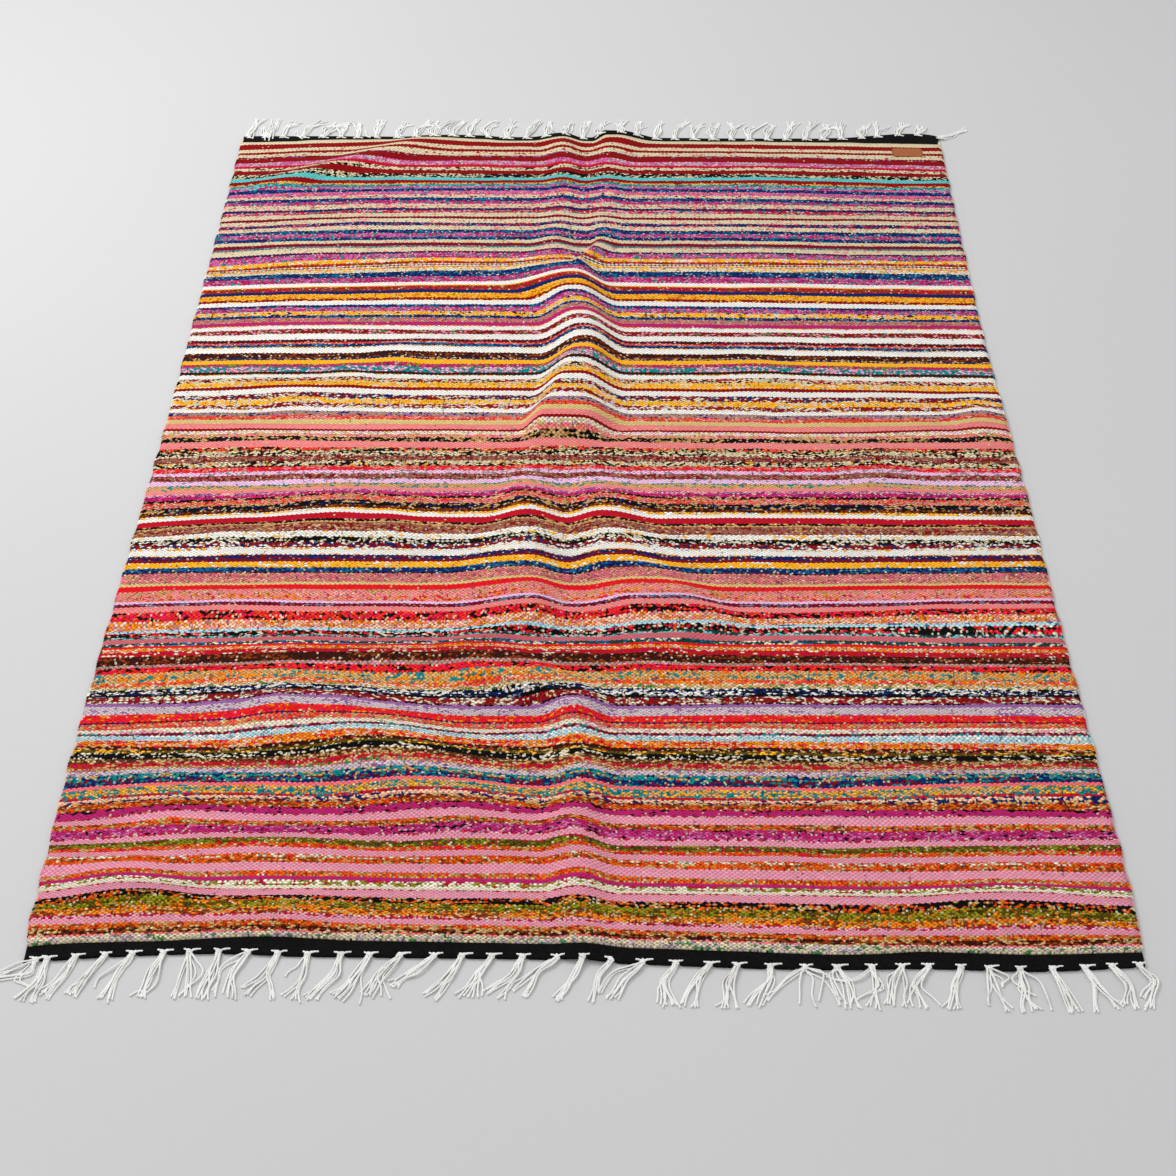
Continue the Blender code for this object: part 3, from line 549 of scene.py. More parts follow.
# Fringe: the locks of each tassel. A lock leaves its knot at x, passes over its middle, and ends
# at its tip; spread is how far its strands lie apart there, to each side.
Lock = namedtuple("Lock", "x mid_x mid_y tip_x tip_y strands spread")
FRONT_LOCKS_MM = tuple(Lock(*row) for row in (
    (-695, -699, -1022, -757, -1034, 5, 5), (-695, -715, -1012, -754, -1030, 3, 3),
    (-695, -712, -1032, -697, -1042, 2, 2), (-681, -688, -1035, -703, -1061, 4, 5),
    (-681, -681, -1035, -687, -1065, 4, 4), (-646, -654, -1025, -672, -1058, 5, 5),
    (-646, -664, -1035, -678, -1048, 3, 4), (-609, -625, -1025, -637, -1054, 4, 4),
    (-609, -632, -1033, -647, -1052, 4, 4), (-575, -588, -1018, -606, -1058, 3, 3),
    (-575, -587, -1020, -598, -1062, 2, 2), (-575, -586, -1022, -591, -1058, 3, 2),
    (-575, -598, -1018, -617, -1041, 1, 0), (-536, -546, -1018, -552, -1057, 6, 6),
    (-536, -537, -1030, -545, -1050, 1, 2), (-536, -548, -1042, -565, -1054, 1, 0),
    (-503, -508, -1022, -513, -1059, 3, 5), (-503, -498, -1022, -496, -1056, 3, 4),
    (-503, -485, -1020, -505, -1054, 2, 2), (-466, -472, -1020, -482, -1057, 4, 5),
    (-466, -468, -1022, -474, -1057, 3, 3), (-466, -462, -1022, -466, -1047, 1, 0),
    (-429, -444, -1018, -450, -1052, 4, 5), (-429, -459, -1012, -464, -1052, 2, 2),
    (-429, -443, -1025, -436, -1058, 2, 2), (-391, -402, -1026, -422, -1054, 3, 4),
    (-391, -399, -1020, -390, -1057, 4, 3), (-391, -411, -1026, -427, -1042, 2, 2),
    (-353, -355, -1022, -362, -1061, 5, 4), (-353, -355, -1030, -377, -1053, 2, 3),
    (-353, -364, -1010, -381, -1022, 1, 0), (-311, -318, -1022, -347, -1057, 5, 5),
    (-311, -313, -1022, -338, -1055, 3, 3), (-275, -290, -1022, -314, -1053, 4, 4),
    (-275, -288, -1025, -305, -1060, 3, 4), (-275, -281, -1025, -277, -1066, 1, 0),
    (-236, -262, -1022, -275, -1050, 4, 5), (-236, -258, -1022, -250, -1056, 2, 5),
    (-236, -258, -1028, -268, -1054, 2, 3), (-193, -218, -1015, -245, -1038, 5, 5),
    (-193, -215, -1018, -237, -1038, 3, 3), (-158, -174, -1022, -202, -1050, 4, 4),
    (-158, -170, -1025, -186, -1057, 4, 3), (-120, -136, -1018, -161, -1054, 2, 3),
    (-120, -135, -1018, -149, -1053, 3, 3), (-120, -134, -1018, -138, -1055, 2, 2),
    (-120, -133, -1018, -130, -1054, 1, 0), (-81, -95, -1022, -124, -1046, 5, 5),
    (-81, -85, -1018, -107, -1055, 3, 3), (-37, -62, -1012, -92, -1040, 3, 4),
    (-37, -60, -1016, -76, -1051, 5, 4), (-5, -16, -1022, -36, -1056, 8, 5),
    (31, 14, -1020, 6, -1058, 4, 4), (31, 18, -1020, 14, -1044, 3, 4),
    (71, 36, -1014, 16, -1044, 3, 2), (71, 46, -1025, 28, -1055, 3, 3),
    (71, 50, -1027, 37, -1056, 2, 2), (113, 97, -1028, 97, -1065, 3, 3),
    (113, 100, -1030, 111, -1065, 4, 3), (113, 91, -1035, 87, -1060, 1, 0),
    (155, 137, -1025, 119, -1060, 4, 4), (155, 141, -1028, 134, -1067, 4, 4),
    (190, 177, -1030, 172, -1068, 4, 3), (190, 181, -1030, 187, -1067, 3, 2),
    (190, 176, -1045, 159, -1065, 1, 0), (232, 229, -1025, 199, -1061, 4, 4),
    (232, 231, -1025, 214, -1065, 4, 4), (275, 250, -1025, 224, -1052, 3, 3),
    (275, 268, -1028, 263, -1061, 1, 0), (275, 282, -1022, 282, -1065, 1, 0),
    (275, 299, -1014, 290, -1055, 1, 0), (275, 300, -1022, 316, -1058, 2, 2),
    (316, 325, -1030, 327, -1066, 4, 4), (316, 333, -1030, 337, -1066, 2, 1),
    (316, 307, -1018, 321, -1062, 2, 2), (360, 340, -1024, 303, -1021, 2, 2),
    (360, 367, -1034, 334, -1054, 2, 2), (360, 362, -1040, 362, -1067, 2, 3),
    (360, 366, -1030, 350, -1062, 2, 2), (397, 382, -1022, 373, -1061, 3, 3),
    (397, 386, -1025, 383, -1062, 3, 3), (397, 399, -1030, 393, -1062, 2, 3),
    (431, 411, -1030, 421, -1065, 5, 4), (431, 420, -1034, 440, -1059, 1, 0),
    (431, 408, -1035, 402, -1060, 2, 2), (472, 460, -1030, 448, -1065, 4, 4),
    (472, 463, -1030, 460, -1067, 4, 3), (507, 511, -1035, 523, -1067, 3, 3),
    (507, 503, -1035, 500, -1060, 2, 1), (507, 528, -1020, 518, -1034, 2, 2),
    (546, 546, -1035, 556, -1067, 4, 5), (546, 568, -1025, 578, -1067, 1, 0),
    (546, 544, -1040, 540, -1069, 2, 2), (546, 535, -1022, 560, -1046, 1, 0),
    (587, 597, -1030, 610, -1067, 5, 5), (587, 594, -1035, 599, -1069, 3, 3),
    (628, 637, -1030, 630, -1068, 3, 3), (628, 643, -1036, 663, -1060, 5, 4),
    (663, 681, -1028, 681, -1064, 4, 3), (663, 678, -1030, 668, -1058, 3, 4),
    (698, 714, -1022, 696, -1064, 5, 5), (698, 708, -1025, 692, -1048, 3, 4),
))
BACK_KNOTS = 38
BACK_LEANS_MM = (
    (-700, 12), (-600, 18), (-560, 40), (-480, -6), (-350, 30), (-280, 4), (-200, 6), (-130, 20),
    (-60, 14), (80, 10), (180, 22), (260, 8), (330, 20), (440, 24), (520, 6), (600, 22), (664, 20),
)
BACK_CORNER_LOCKS_MM = (
    Lock(695, 722, 1008, 753, 1040, 4, 3), Lock(695, 728, 1016, 754, 1032, 3, 3),
)
BACK_LOCK_STRANDS = (3, 3, 2)
BACK_SIDE_INSET, BACK_KNOT_SHIFT = 7, 3
BACK_MIDDLE_Y, BACK_TIP_Y = 1022, 1056

# Strands that curl back over the band at the far end
BACK_CURLS_MM = tuple(Lock(*row) for row in (
    (-690, -686, 1024, -680, 981, 1, 0), (-665, -668, 1030, -652, 975, 2, 5),
    (-665, -650, 1028, -645, 970, 2, 4), (-600, -600, 1020, -584, 978, 1, 0),
    (-548, -530, 1018, -538, 986, 1, 0), (-455, -460, 1022, -448, 980, 1, 0),
    (-180, -176, 992, -160, 1004, 1, 0), (-388, -392, 1024, -386, 984, 1, 0),
))
THREAD_RADIUS = 1.25 * MM
THREAD_SIDES = 6
THREAD_STEP = 5.0 * MM
PLY_PITCH = 4.6 * MM
STRAND_WIDTHS = (0.35, 0.75, 0.9, 1.0, 1.0, 1.0, 1.0, 0.92)
TIP_SHORTENING = (-0.03, 0.12)
TIP_KNOT_RADIUS = 1.7 * MM
KNOT_HALF_WIDTH = 3.4 * MM
WRAP_START_RADIUS, WRAP_END_RADIUS = 3.0 * MM, 3.7 * MM
WRAP_HEIGHT = 5.4 * MM
WRAP_TURNS = 2.3
WRAP_FLATNESS = 0.72
KNOT_OVERLAP = 1.5 * MM
KNOT_LIFT = 3.6 * MM
GATHER_LEFT, GATHER_RIGHT = 9 * MM, 15 * MM
GATHER_INSET = 4.5 * MM
EDGE_PULL = 3.5 * MM
EDGE_PULL_REACH = 9 * MM
FRINGE_SEED = 38

# Selvedge: the weft's turns round the last warp
TURN_PITCH = 5.2 * MM
TURN_RADIUS = 2.2 * MM
TURN_THREAD_RADIUS = 1.5 * MM
TURN_THREAD_SIDES = 5
RIGHT_SCALLOP_PITCH = 1.07
TURN_OUTSET = 1.2 * MM
FIRST_TURN, PAST_LAST_TURN = -0.972, 0.980

LABEL_SIZE = (60 * MM, 30 * MM, 1.6 * MM)
LABEL_CORNER = 3 * MM
LABEL_EDGE = 0.5 * MM
LABEL_RISE = 0.6 * MM
LABEL_SHARP_DEG = 40
LABEL_CENTRE = (624 * MM, 937 * MM)


def between(rows, place, field):
    """Read a field of a table at places given by its first column, on a smooth curve."""
    marks = np.array([row[0] for row in rows], float)
    values = np.array([getattr(row, field) for row in rows], float)
    wide = np.concatenate((marks[:1], marks, marks[-1:]))
    tall = np.concatenate((values[:1], values, values[-1:]))
    slopes = (tall[2:] - tall[:-2]) / (wide[2:] - wide[:-2])
    span = np.clip(np.searchsorted(marks, place) - 1, 0, len(marks) - 2)
    width = marks[span + 1] - marks[span]
    t = np.clip((place - marks[span]) / width, 0.0, 1.0)
    rise = 3 * t ** 2 - 2 * t ** 3
    bend = (t - 2 * t ** 2 + t ** 3) * slopes[span] + (t ** 3 - t ** 2) * slopes[span + 1]
    return values[span] + (values[span + 1] - values[span]) * rise + bend * width


def bell(distance, reach):
    """A rounded rise: 1 at its middle and 0 from its reach on."""
    return np.where(distance < reach, np.cos(0.5 * np.pi * distance / reach) ** 2, 0.0)


def crest(x, y, which):
    """Height in millimetres of one crest of the centre folds."""
    read = lambda field: between(CENTRE_SECTIONS_MM, y, which + "_" + field)
    offset = x - read("x")
    reach = np.where(offset > 0, read("b"), read("a"))
    past_top = np.maximum(np.abs(offset) - read("top"), 0.0)
    return np.maximum(read("z"), 0.0) * bell(past_top, reach)


def fold_height(x, y, points):
    """Height in millimetres of one slanting fold, from the nearest place on its line."""
    highest = np.zeros_like(x)
    for start, end in zip(points, points[1:]):
        way = (end.x - start.x, end.y - start.y)
        t = ((x - start.x) * way[0] + (y - start.y) * way[1]) / (way[0] ** 2 + way[1] ** 2)
        t = np.clip(t, 0.0, 1.0)
        aside_x, aside_y = x - start.x - t * way[0], y - start.y - t * way[1]
        on_left = way[0] * aside_y - way[1] * aside_x > 0
        left = start.left + (end.left - start.left) * t
        right = start.right + (end.right - start.right) * t
        height = start.z + (end.z - start.z) * t
        rise = height * bell(np.hypot(aside_x, aside_y), np.where(on_left, left, right))
        highest = np.maximum(highest, rise)
    return highest


def swell_height(x, y, swell):
    """Height in millimetres of one low mound."""
    turn = math.radians(swell.turn_deg)
    dx, dy = x - swell.x, y - swell.y
    along = (dx * math.cos(turn) + dy * math.sin(turn)) / swell.half_long
    across = (dy * math.cos(turn) - dx * math.sin(turn)) / swell.half_wide
    return swell.z * bell(np.hypot(along, across), 1.0)


def lie(x, y):
    """Height of the cloth's underside above the floor, in metres, at places in metres."""
    x, y = np.asarray(x, float) / MM, np.asarray(y, float) / MM
    height = crest(x, y, "left") + crest(x, y, "right")
    height = height + sum(fold_height(x, y, points) for points in FOLDS_MM)
    height = height + sum(swell_height(x, y, swell) for swell in SWELLS_MM)
    return height * MM


def side(y, field):
    """Where a selvedge lies at a distance along the rug."""
    return between(SELVEDGES_MM, np.asarray(y) / MM, field) * MM


def end_line(table, x, field):
    """Where an edge of an end band lies at a distance across the rug."""
    return between(table, np.asarray(x) / MM, field) * MM


def scallop(y):
    """How far the selvedge pulls in and out along the rug, in metres."""
    return (0.9 * np.sin(y * 97.0 + 1.0) + 0.8 * np.sin(y * 61.0 + 0.4 + 2.0 * np.sin(y * 7.0))) * MM


def ripple(x, y):
    """Small unevenness of the lying cloth, in metres."""
    waves = np.sin(x * 71.0 + 2.3 * np.sin(y * 13.0)) * np.sin(y * 83.0 + 1.9 * np.sin(x * 11.0))
    return 0.45 * MM * (1.0 + waves) + 0.25 * MM * (1.0 + np.sin(x * 31.0 - y * 47.0))


def weave_place(x, y):
    """Where a point of the lying rug is on the woven cloth: across and along, in metres.

    The chart's places are where sight lines through the cloth's top meet the floor.
    """
    x, y = np.asarray(x, float), np.asarray(y, float)
    marks = [row[0] for row in DRIFT_MM]
    across = np.array([np.interp(x / MM, DRIFT_PLACES_MM, row[1]) for row in DRIFT_MM])
    span = np.clip(np.searchsorted(marks, y / MM) - 1, 0, len(marks) - 2)
    low = np.take(marks, span)
    t = np.clip((y / MM - low) / (np.take(marks, span + 1) - low), 0.0, 1.0)
    here = np.take_along_axis(across, span[None], 0)[0]
    there = np.take_along_axis(across, span[None] + 1, 0)[0]
    beyond = CHART_HEIGHT * (y - CAMERA_PLACE[1]) / CAMERA_PLACE[2]
    return x, y + beyond - (here + (there - here) * t) * MM


def column_shares():
    """Mesh stations across the cloth as shares of its width, close together over the folds."""
    marks = [-CLOTH_HALF_WIDTH]
    while marks[-1] < CLOTH_HALF_WIDTH:
        fine = abs(marks[-1]) < FINE_HALF_WIDTH
        marks.append(marks[-1] + (FINE_COLUMN_STEP if fine else COLUMN_STEP))
    marks = np.array(marks)
    return (marks - marks[0]) / (marks[-1] - marks[0])


def put_in_scene(name, data):
    """Put a mesh, light or camera into the scene as an object."""
    made = bpy.data.objects.new(name, data)
    bpy.context.scene.collection.objects.link(made)
    return made


def add_piece(name, points, faces, finish, weave=None):
    """Make one mesh piece, with its place on the weave as an attribute where it has one."""
    mesh = bpy.data.meshes.new(name)
    mesh.from_pydata([tuple(point) for point in points], [], faces)
    if weave is not None:
        layer = mesh.attributes.new("weave", "FLOAT_VECTOR", "POINT")
        flat = np.column_stack((*weave, np.zeros(len(weave[0])))).astype(np.float32)
        layer.data.foreach_set("vector", flat.ravel())
    mesh.materials.append(finish)
    mesh.shade_smooth()
    return put_in_scene(name, mesh)


def sheet(name, near_line, far_line, shares, rows, thickness, rounded, finish):
    """A closed sheet that lies in the rug's folds between two lines across it."""
    columns = len(shares)
    along = np.linspace(0.0, 1.0, rows)[:, None]
    guess = np.linspace(near_line(np.zeros(1)), far_line(np.zeros(1)), rows)
    left = side(guess, "left") + scallop(guess)
    right = side(guess, "right") - scallop(guess * RIGHT_SCALLOP_PITCH)
    x = left + (right - left) * shares[None, :]
    near, far = near_line(x), far_line(x)
    y = near + (far - near) * along
    low = lie(x, y) + ripple(x, y) * (thickness / CLOTH_THICKNESS)
    inset_x, inset_y = np.zeros_like(x), np.zeros_like(y)
    inset_x[:, 0], inset_x[:, -1] = rounded, -rounded
    inset_y[0, :], inset_y[-1, :] = rounded * 0.6, -rounded * 0.6
    top = np.stack((x + inset_x, y + inset_y, low + thickness), -1).reshape(-1, 3)
    bottom = np.stack((x + inset_x, y + inset_y, low), -1).reshape(-1, 3)
    ring = (
        [(0, c) for c in range(columns)]
        + [(r, columns - 1) for r in range(1, rows)]
        + [(rows - 1, c) for c in range(columns - 2, -1, -1)]
        + [(r, 0) for r in range(rows - 2, 0, -1)]
    )
    rim = np.array([(x[r, c], y[r, c], low[r, c] + thickness / 2) for r, c in ring])
    points = np.concatenate((top, bottom, rim))
    count = rows * columns
    cell = [(r * columns + c) for r in range(rows - 1) for c in range(columns - 1)]
    faces = [(i, i + 1, i + columns + 1, i + columns) for i in cell]
    under = [count + i for i in cell]
    faces += [(i, i + columns, i + columns + 1, i + 1) for i in under]
    edge = [r * columns + c for r, c in ring]
    for here in range(len(ring)):
        there = (here + 1) % len(ring)
        middle, next_middle = 2 * count + here, 2 * count + there
        faces.append((edge[there], edge[here], middle, next_middle))
        faces.append((next_middle, middle, count + edge[here], count + edge[there]))
    return add_piece(name, points, faces, finish, weave_place(points[:, 0], points[:, 1]))


class Field:
    """A node's output that takes part in Python sums, each of which adds its Math node."""

    def __init__(self, graph, socket):
        self.graph, self.socket = graph, socket

    def maths(self, operation, *values):
        return self.graph.node("ShaderNodeMath", {"operation": operation}, dict(enumerate(values)))

    def other(self, name):
        """Another output of the same node."""
        return Field(self.graph, self.socket.node.outputs[name])

    def __add__(self, value):
        return self.maths("ADD", self, value)

    def __sub__(self, value):
        return self.maths("SUBTRACT", self, value)

    def __rsub__(self, value):
        return self.maths("SUBTRACT", value, self)

    def __mul__(self, value):
        return self.maths("MULTIPLY", self, value)

    def __truediv__(self, value):
        return self.maths("DIVIDE", self, value)

    def __lt__(self, value):
        return self.maths("LESS_THAN", self, value)

    def __gt__(self, value):
        return self.maths("GREATER_THAN", self, value)

    __radd__, __rmul__ = __add__, __mul__

    def round(self):
        return self.maths("ROUND", self)

    def floor(self):
        return self.maths("FLOOR", self)

    def sine(self):
        return self.maths("SINE", self)

    def absolute(self):
        """The number without its sign."""
        return self.maths("ABSOLUTE", self)

    def clamp(self, low=0.0, high=1.0):
        return self.graph.node("ShaderNodeClamp", {}, {0: self, 1: low, 2: high})

    def fade(self, start, end):
        """0 below start, 1 above end, smooth between them."""
        settings = {"interpolation_type": "SMOOTHSTEP"}
        return self.graph.node("ShaderNodeMapRange", settings, {0: self, 1: start, 2: end})


class Graph:
    """A node tree, of a material or of Geometry Nodes, filled by one method."""

    def __init__(self, tree):
        self.tree = tree

    def node(self, kind, settings=None, sockets=None, output=0):
        """Add a node, give it its settings, then its sockets' values or links."""
        made = self.tree.nodes.new(kind)
        for name, value in (settings or {}).items():
            if name == "stops":
                self.set_stops(made.color_ramp, value)
            elif name == "ramp_interpolation":
                made.color_ramp.interpolation = value
            else:
                setattr(made, name, value)
        for name, value in (sockets or {}).items():
            self.plug(made.inputs[name], value)
        return Field(self, made.outputs[output]) if len(made.outputs) else made

    def plug(self, socket, value):
        """Give a socket its value, or link it."""
        if isinstance(value, Field):
            self.tree.links.new(value.socket, socket)
        else:
            socket.default_value = value

    def set_stops(self, ramp, stops):
        """Give a colour ramp its stops, each a position and a colour."""
        ramp.elements.remove(ramp.elements[1])
        ramp.elements[0].position, ramp.elements[0].color = stops[0]
        for position, colour in stops[1:]:
            ramp.elements.new(position).color = colour


class Finish(Graph):
    """A material: its Principled shader, with helpers for colours and textures."""

    def __init__(self, name, **constants):
        self.material = bpy.data.materials.new(name)
        self.material.use_nodes = True
        super().__init__(self.material.node_tree)
        self.shader = self.tree.nodes["Principled BSDF"]
        for key, value in constants.items():
            self.shader.inputs[key.replace("_", " ").title().replace("Ior", "IOR")].default_value = value

    def mix(self, factor, one, two, blend="MIX"):
        """Mix two colours."""
        settings = {"data_type": "RGBA", "blend_type": blend}
        return self.node("ShaderNodeMix", settings, {0: factor, 6: one, 7: two}, output=2)

    def place(self, *numbers):
        """A vector out of up to three numbers."""
        return self.node("ShaderNodeCombineXYZ", {}, dict(enumerate(numbers)))

    def noise(self, where, scale, detail=2.0, roughness=0.5):
        """Soft noise between 0 and 1 at a place."""
        sockets = {"Vector": where, "Scale": scale, "Detail": detail, "Roughness": roughness}
        return self.node("ShaderNodeTexNoise", {}, sockets)

    def chance(self, *numbers):
        """A random number between 0 and 1 for each set of whole numbers."""
        return self.node("ShaderNodeTexWhiteNoise", {}, {"Vector": self.place(*numbers)})

    def attribute(self, name, output="Vector"):
        """The piece's own attribute."""
        return self.node("ShaderNodeAttribute", {"attribute_name": name}, output=output)

    def parts(self, vector):
        """The three numbers of a vector."""
        first = self.node("ShaderNodeSeparateXYZ", {}, {0: vector})
        return first, first.other("Y"), first.other("Z")

    def object_place(self):
        """Place on the piece in metres, from the rug's centre."""
        return self.node("ShaderNodeTexCoord", output="Object")

    def tint(self, colour, amount):
        """A colour made lighter or darker by a number around 1."""
        grey = self.node("ShaderNodeCombineColor", {}, {0: amount, 1: amount, 2: amount})
        return self.mix(1.0, colour, grey, "MULTIPLY")

    def bump(self, height, distance, strength=1.0):
        """Relief from a height between 0 and 1."""
        sockets = {"Strength": strength, "Distance": distance, "Height": height}
        return self.node("ShaderNodeBump", {}, sockets)

    def finish(self, colour, normal=None, roughness=None):
        """Join the finished colour and relief to the shader."""
        self.plug(self.shader.inputs["Base Color"], colour)
        if normal is not None:
            self.plug(self.shader.inputs["Normal"], normal)
        if roughness is not None:
            self.plug(self.shader.inputs["Roughness"], roughness)
        return self.material


def linear(colour):
    """Linear light of an sRGB colour."""
    return tuple(c / 12.92 if c <= 0.04045 else ((c + 0.055) / 1.055) ** 2.4 for c in colour)


Weave = namedtuple("Weave", "row number middle_distance")


def weave_floats(across, along, pick, pitch, half_length, half_height):
    """Find the float at a place: its row, its number in the row, and how far its middle is."""
    def lattice(odd):
        row = ((along / pick - odd) / 2).round() * 2 + odd
        start = across - odd * pitch / 2
        number = (start / pitch).round()
        aside, beyond = (along - row * pick) / half_height, (start - number * pitch) / half_length
        return Weave(row, number * 2 + odd, aside * aside + beyond * beyond)

    even, odd = lattice(0), lattice(1)
    is_odd = odd.middle_distance < even.middle_distance
    return Weave(*(one + (two - one) * is_odd for one, two in zip(even, odd)))


def chart_yarn(finish, row_place, which):
    """The stripe chart as stepped ramps: a yarn's colour, and in alpha the next yarn's share."""
    size = math.ceil(len(STRIPES_MM) / CHART_PARTS)
    colour = share = None
    for first in range(0, len(STRIPES_MM), size):
        rows = STRIPES_MM[first:first + size]
        start = rows[0][0]
        end = STRIPES_MM[first + size][0] if first + size < len(STRIPES_MM) else CHART_END_MM
        stops = []
        for row in rows:
            yarns = [(row[1], 1.0), *row[2:]]
            name = yarns[min(which, len(yarns) - 1)][0]
            next_share = yarns[which + 1][1] if which + 1 < len(yarns) else 0.0
            stops.append(((row[0] - start) / (end - start), (*linear(YARNS[name]), next_share)))
        settings = {"ramp_interpolation": "CONSTANT", "stops": stops}
        ramp = finish.node("ShaderNodeValToRGB", settings, {0: (row_place - start) / (end - start)})
        if colour is None:
            colour, share = ramp, ramp.other("Alpha")
        else:
            past = row_place > start
            colour = finish.mix(past, colour, ramp)
            share = share + (ramp.other("Alpha") - share) * past
    return colour, share


def striped_weave():
    """The striped cloth: weft floats laid like bricks, each float in one of its stripe's yarns, with
    painted shade in the gaps between floats.
    """
    finish = Finish("striped_weave", roughness=0.95, specular_ior_level=0.12)
    place = finish.attribute("weave")
    across, along, _ = finish.parts(place)
    wander = finish.noise(finish.place(across * 5.0, along * 24.0), 1.0, 1.0)
    waver = finish.noise(place, 45.0, 1.0)
    patch = finish.noise(finish.place(across * 9.0, along * 90.0), 1.0, 1.0).fade(0.3, 0.7)
    across = across * 1000 + (waver - 0.5) * 2.5
    along = along * 1000 + (wander - 0.5) * 7.0
    floats = weave_floats(
        across, along, PICK, FLOAT_PITCH, FLOAT_HALF_LENGTH, FLOAT_HALF_HEIGHT
    )
    row_place = floats.row * PICK
    ground, second_share = chart_yarn(finish, row_place, 0)
    second, third_share = chart_yarn(finish, row_place, 1)
    third, _ = chart_yarn(finish, row_place, 2)
    mixed = (second_share * 2.5).clamp()
    second_share = second_share * (patch * 1.3 + 0.35)

    own = finish.chance(floats.row, floats.number, 3.0)
    shift = finish.chance(floats.row, 7.0) * 6
    stretch = ((floats.number / 2 + shift) / 3).floor()
    run = finish.chance(floats.row, stretch, 11.0)
    ply = (across / FLECK_LENGTH + floats.row * 0.37).floor()
    fleck = finish.chance(ply, floats.row, 13.0)
    chooser = finish.chance(floats.row, floats.number, 17.0)
    draw = own + (run - own) * (chooser < RUN_SHARE)
    draw = draw + (fleck - draw) * (chooser > 1.0 - FLECK_SHARE)
    colour = finish.mix(draw < second_share + third_share, ground, second)
    colour = finish.mix(draw < third_share, colour, third)
    pepper = finish.chance(ply, floats.row, 31.0)
    pale = pepper < (PEPPER_PALE + mixed * 0.07)
    dark = pepper > (1.0 - PEPPER_DARK - mixed * 0.12)
    colour = finish.mix(pale * 0.75, colour, (*linear(YARNS["sand"]), 1.0))

    fibre = finish.noise(finish.place(across * 0.5, along * 1.8), 1.0, 3.0, 0.7)
    fade = finish.noise(place, 5.0, 2.0)
    row_tone = finish.chance(floats.row, 23.0)
    tone = 1.0 + (own - 0.5) * 0.16 + (row_tone - 0.5) * 0.1
    tone = tone + (fibre - 0.5) * (0.2 + mixed * 0.4) + (fade - 0.5) * 0.16
    tone = tone + (fleck - 0.5) * mixed * 0.6
    # Painted shade: the tone falls off in the gaps between floats, more in mixed stripes.
    painted_gap_shade = floats.middle_distance.fade(0.15, 0.95)
    tone = tone * (1.0 - painted_gap_shade * (0.36 + mixed * 0.26)) * (1.0 - dark * 0.62)
    hue = finish.chance(floats.row, ply, 29.0)
    sockets = {"Hue": 0.5 + (hue - 0.5) * (0.012 + mixed * 0.03), "Color": colour}
    colour = finish.node("ShaderNodeHueSaturation", {}, sockets)
    colour = finish.tint(colour, tone * WEAVE_LIGHTNESS)
    height = (1.0 - floats.middle_distance * 0.8).clamp() + (fibre - 0.5) * 0.3
    return finish.finish(colour, finish.bump(height, 1.6 * MM, 1.0))


def black_weave():
    """The fine black heading at each end, with painted shade in the gaps between its floats."""
    finish = Finish("black_weave", roughness=0.9, specular_ior_level=0.12)
    place = finish.attribute("weave")
    across, along, _ = finish.parts(place)
    across, along = across * 1000, along * 1000
    floats = weave_floats(
        across, along, BLACK_PICK, BLACK_FLOAT_PITCH, BLACK_FLOAT_HALF_LENGTH,
        BLACK_FLOAT_HALF_HEIGHT,
    )
    own = finish.chance(floats.row, floats.number, 5.0)
    fibre = finish.noise(finish.place(across * 0.5, along * 2.0), 1.0, 3.0, 0.7)
    dark, worn = (*linear((0.012, 0.01, 0.012)), 1.0), (*linear((0.09, 0.07, 0.07)), 1.0)
    colour = finish.mix((own * 0.5 + fibre * 0.9 - 0.45).clamp(), dark, worn)
    # Painted shade: darker in the gaps between floats.
    colour = finish.tint(colour, 1.0 - floats.middle_distance.fade(0.4, 1.3) * 0.5)
    height = (1.0 - floats.middle_distance * 0.7).clamp() + (fibre - 0.5) * 0.2
    return finish.finish(colour, finish.bump(height, 0.6 * MM, 0.7))


def cotton_yarn():
    """The white warp: two plies twisted round each other, a little soiled, with painted shade in the
    grooves between the plies.
    """
    finish = Finish("cotton_yarn", roughness=0.92, specular_ior_level=0.2)
    where = finish.object_place()
    along = finish.attribute("along", "Fac")
    ring_x, ring_y, _ = finish.parts(finish.attribute("around"))
    angle = ring_x.maths("ARCTAN2", ring_y, ring_x)
    ply = (along * (2 * math.pi / PLY_PITCH) + angle * 2).sine() * 0.5 + 0.5
    soil = finish.noise(where, 26.0, 3.0, 0.6)
    fibre = finish.noise(where, 900.0, 2.0, 0.6)
    clean, soiled = (*linear((0.97, 0.97, 0.96)), 1.0), (*linear((0.88, 0.87, 0.85)), 1.0)
    colour = finish.mix(soil.fade(0.45, 0.8), clean, soiled)
    # Painted shade: darker in the grooves between the two plies, lighter on their crowns; fibre noise
    # varies the tone at random.
    colour = finish.tint(colour, 0.87 + ply * 0.11 + fibre * 0.08)
    return finish.finish(colour, finish.bump(ply + fibre * 0.4, 0.5 * MM, 0.7))


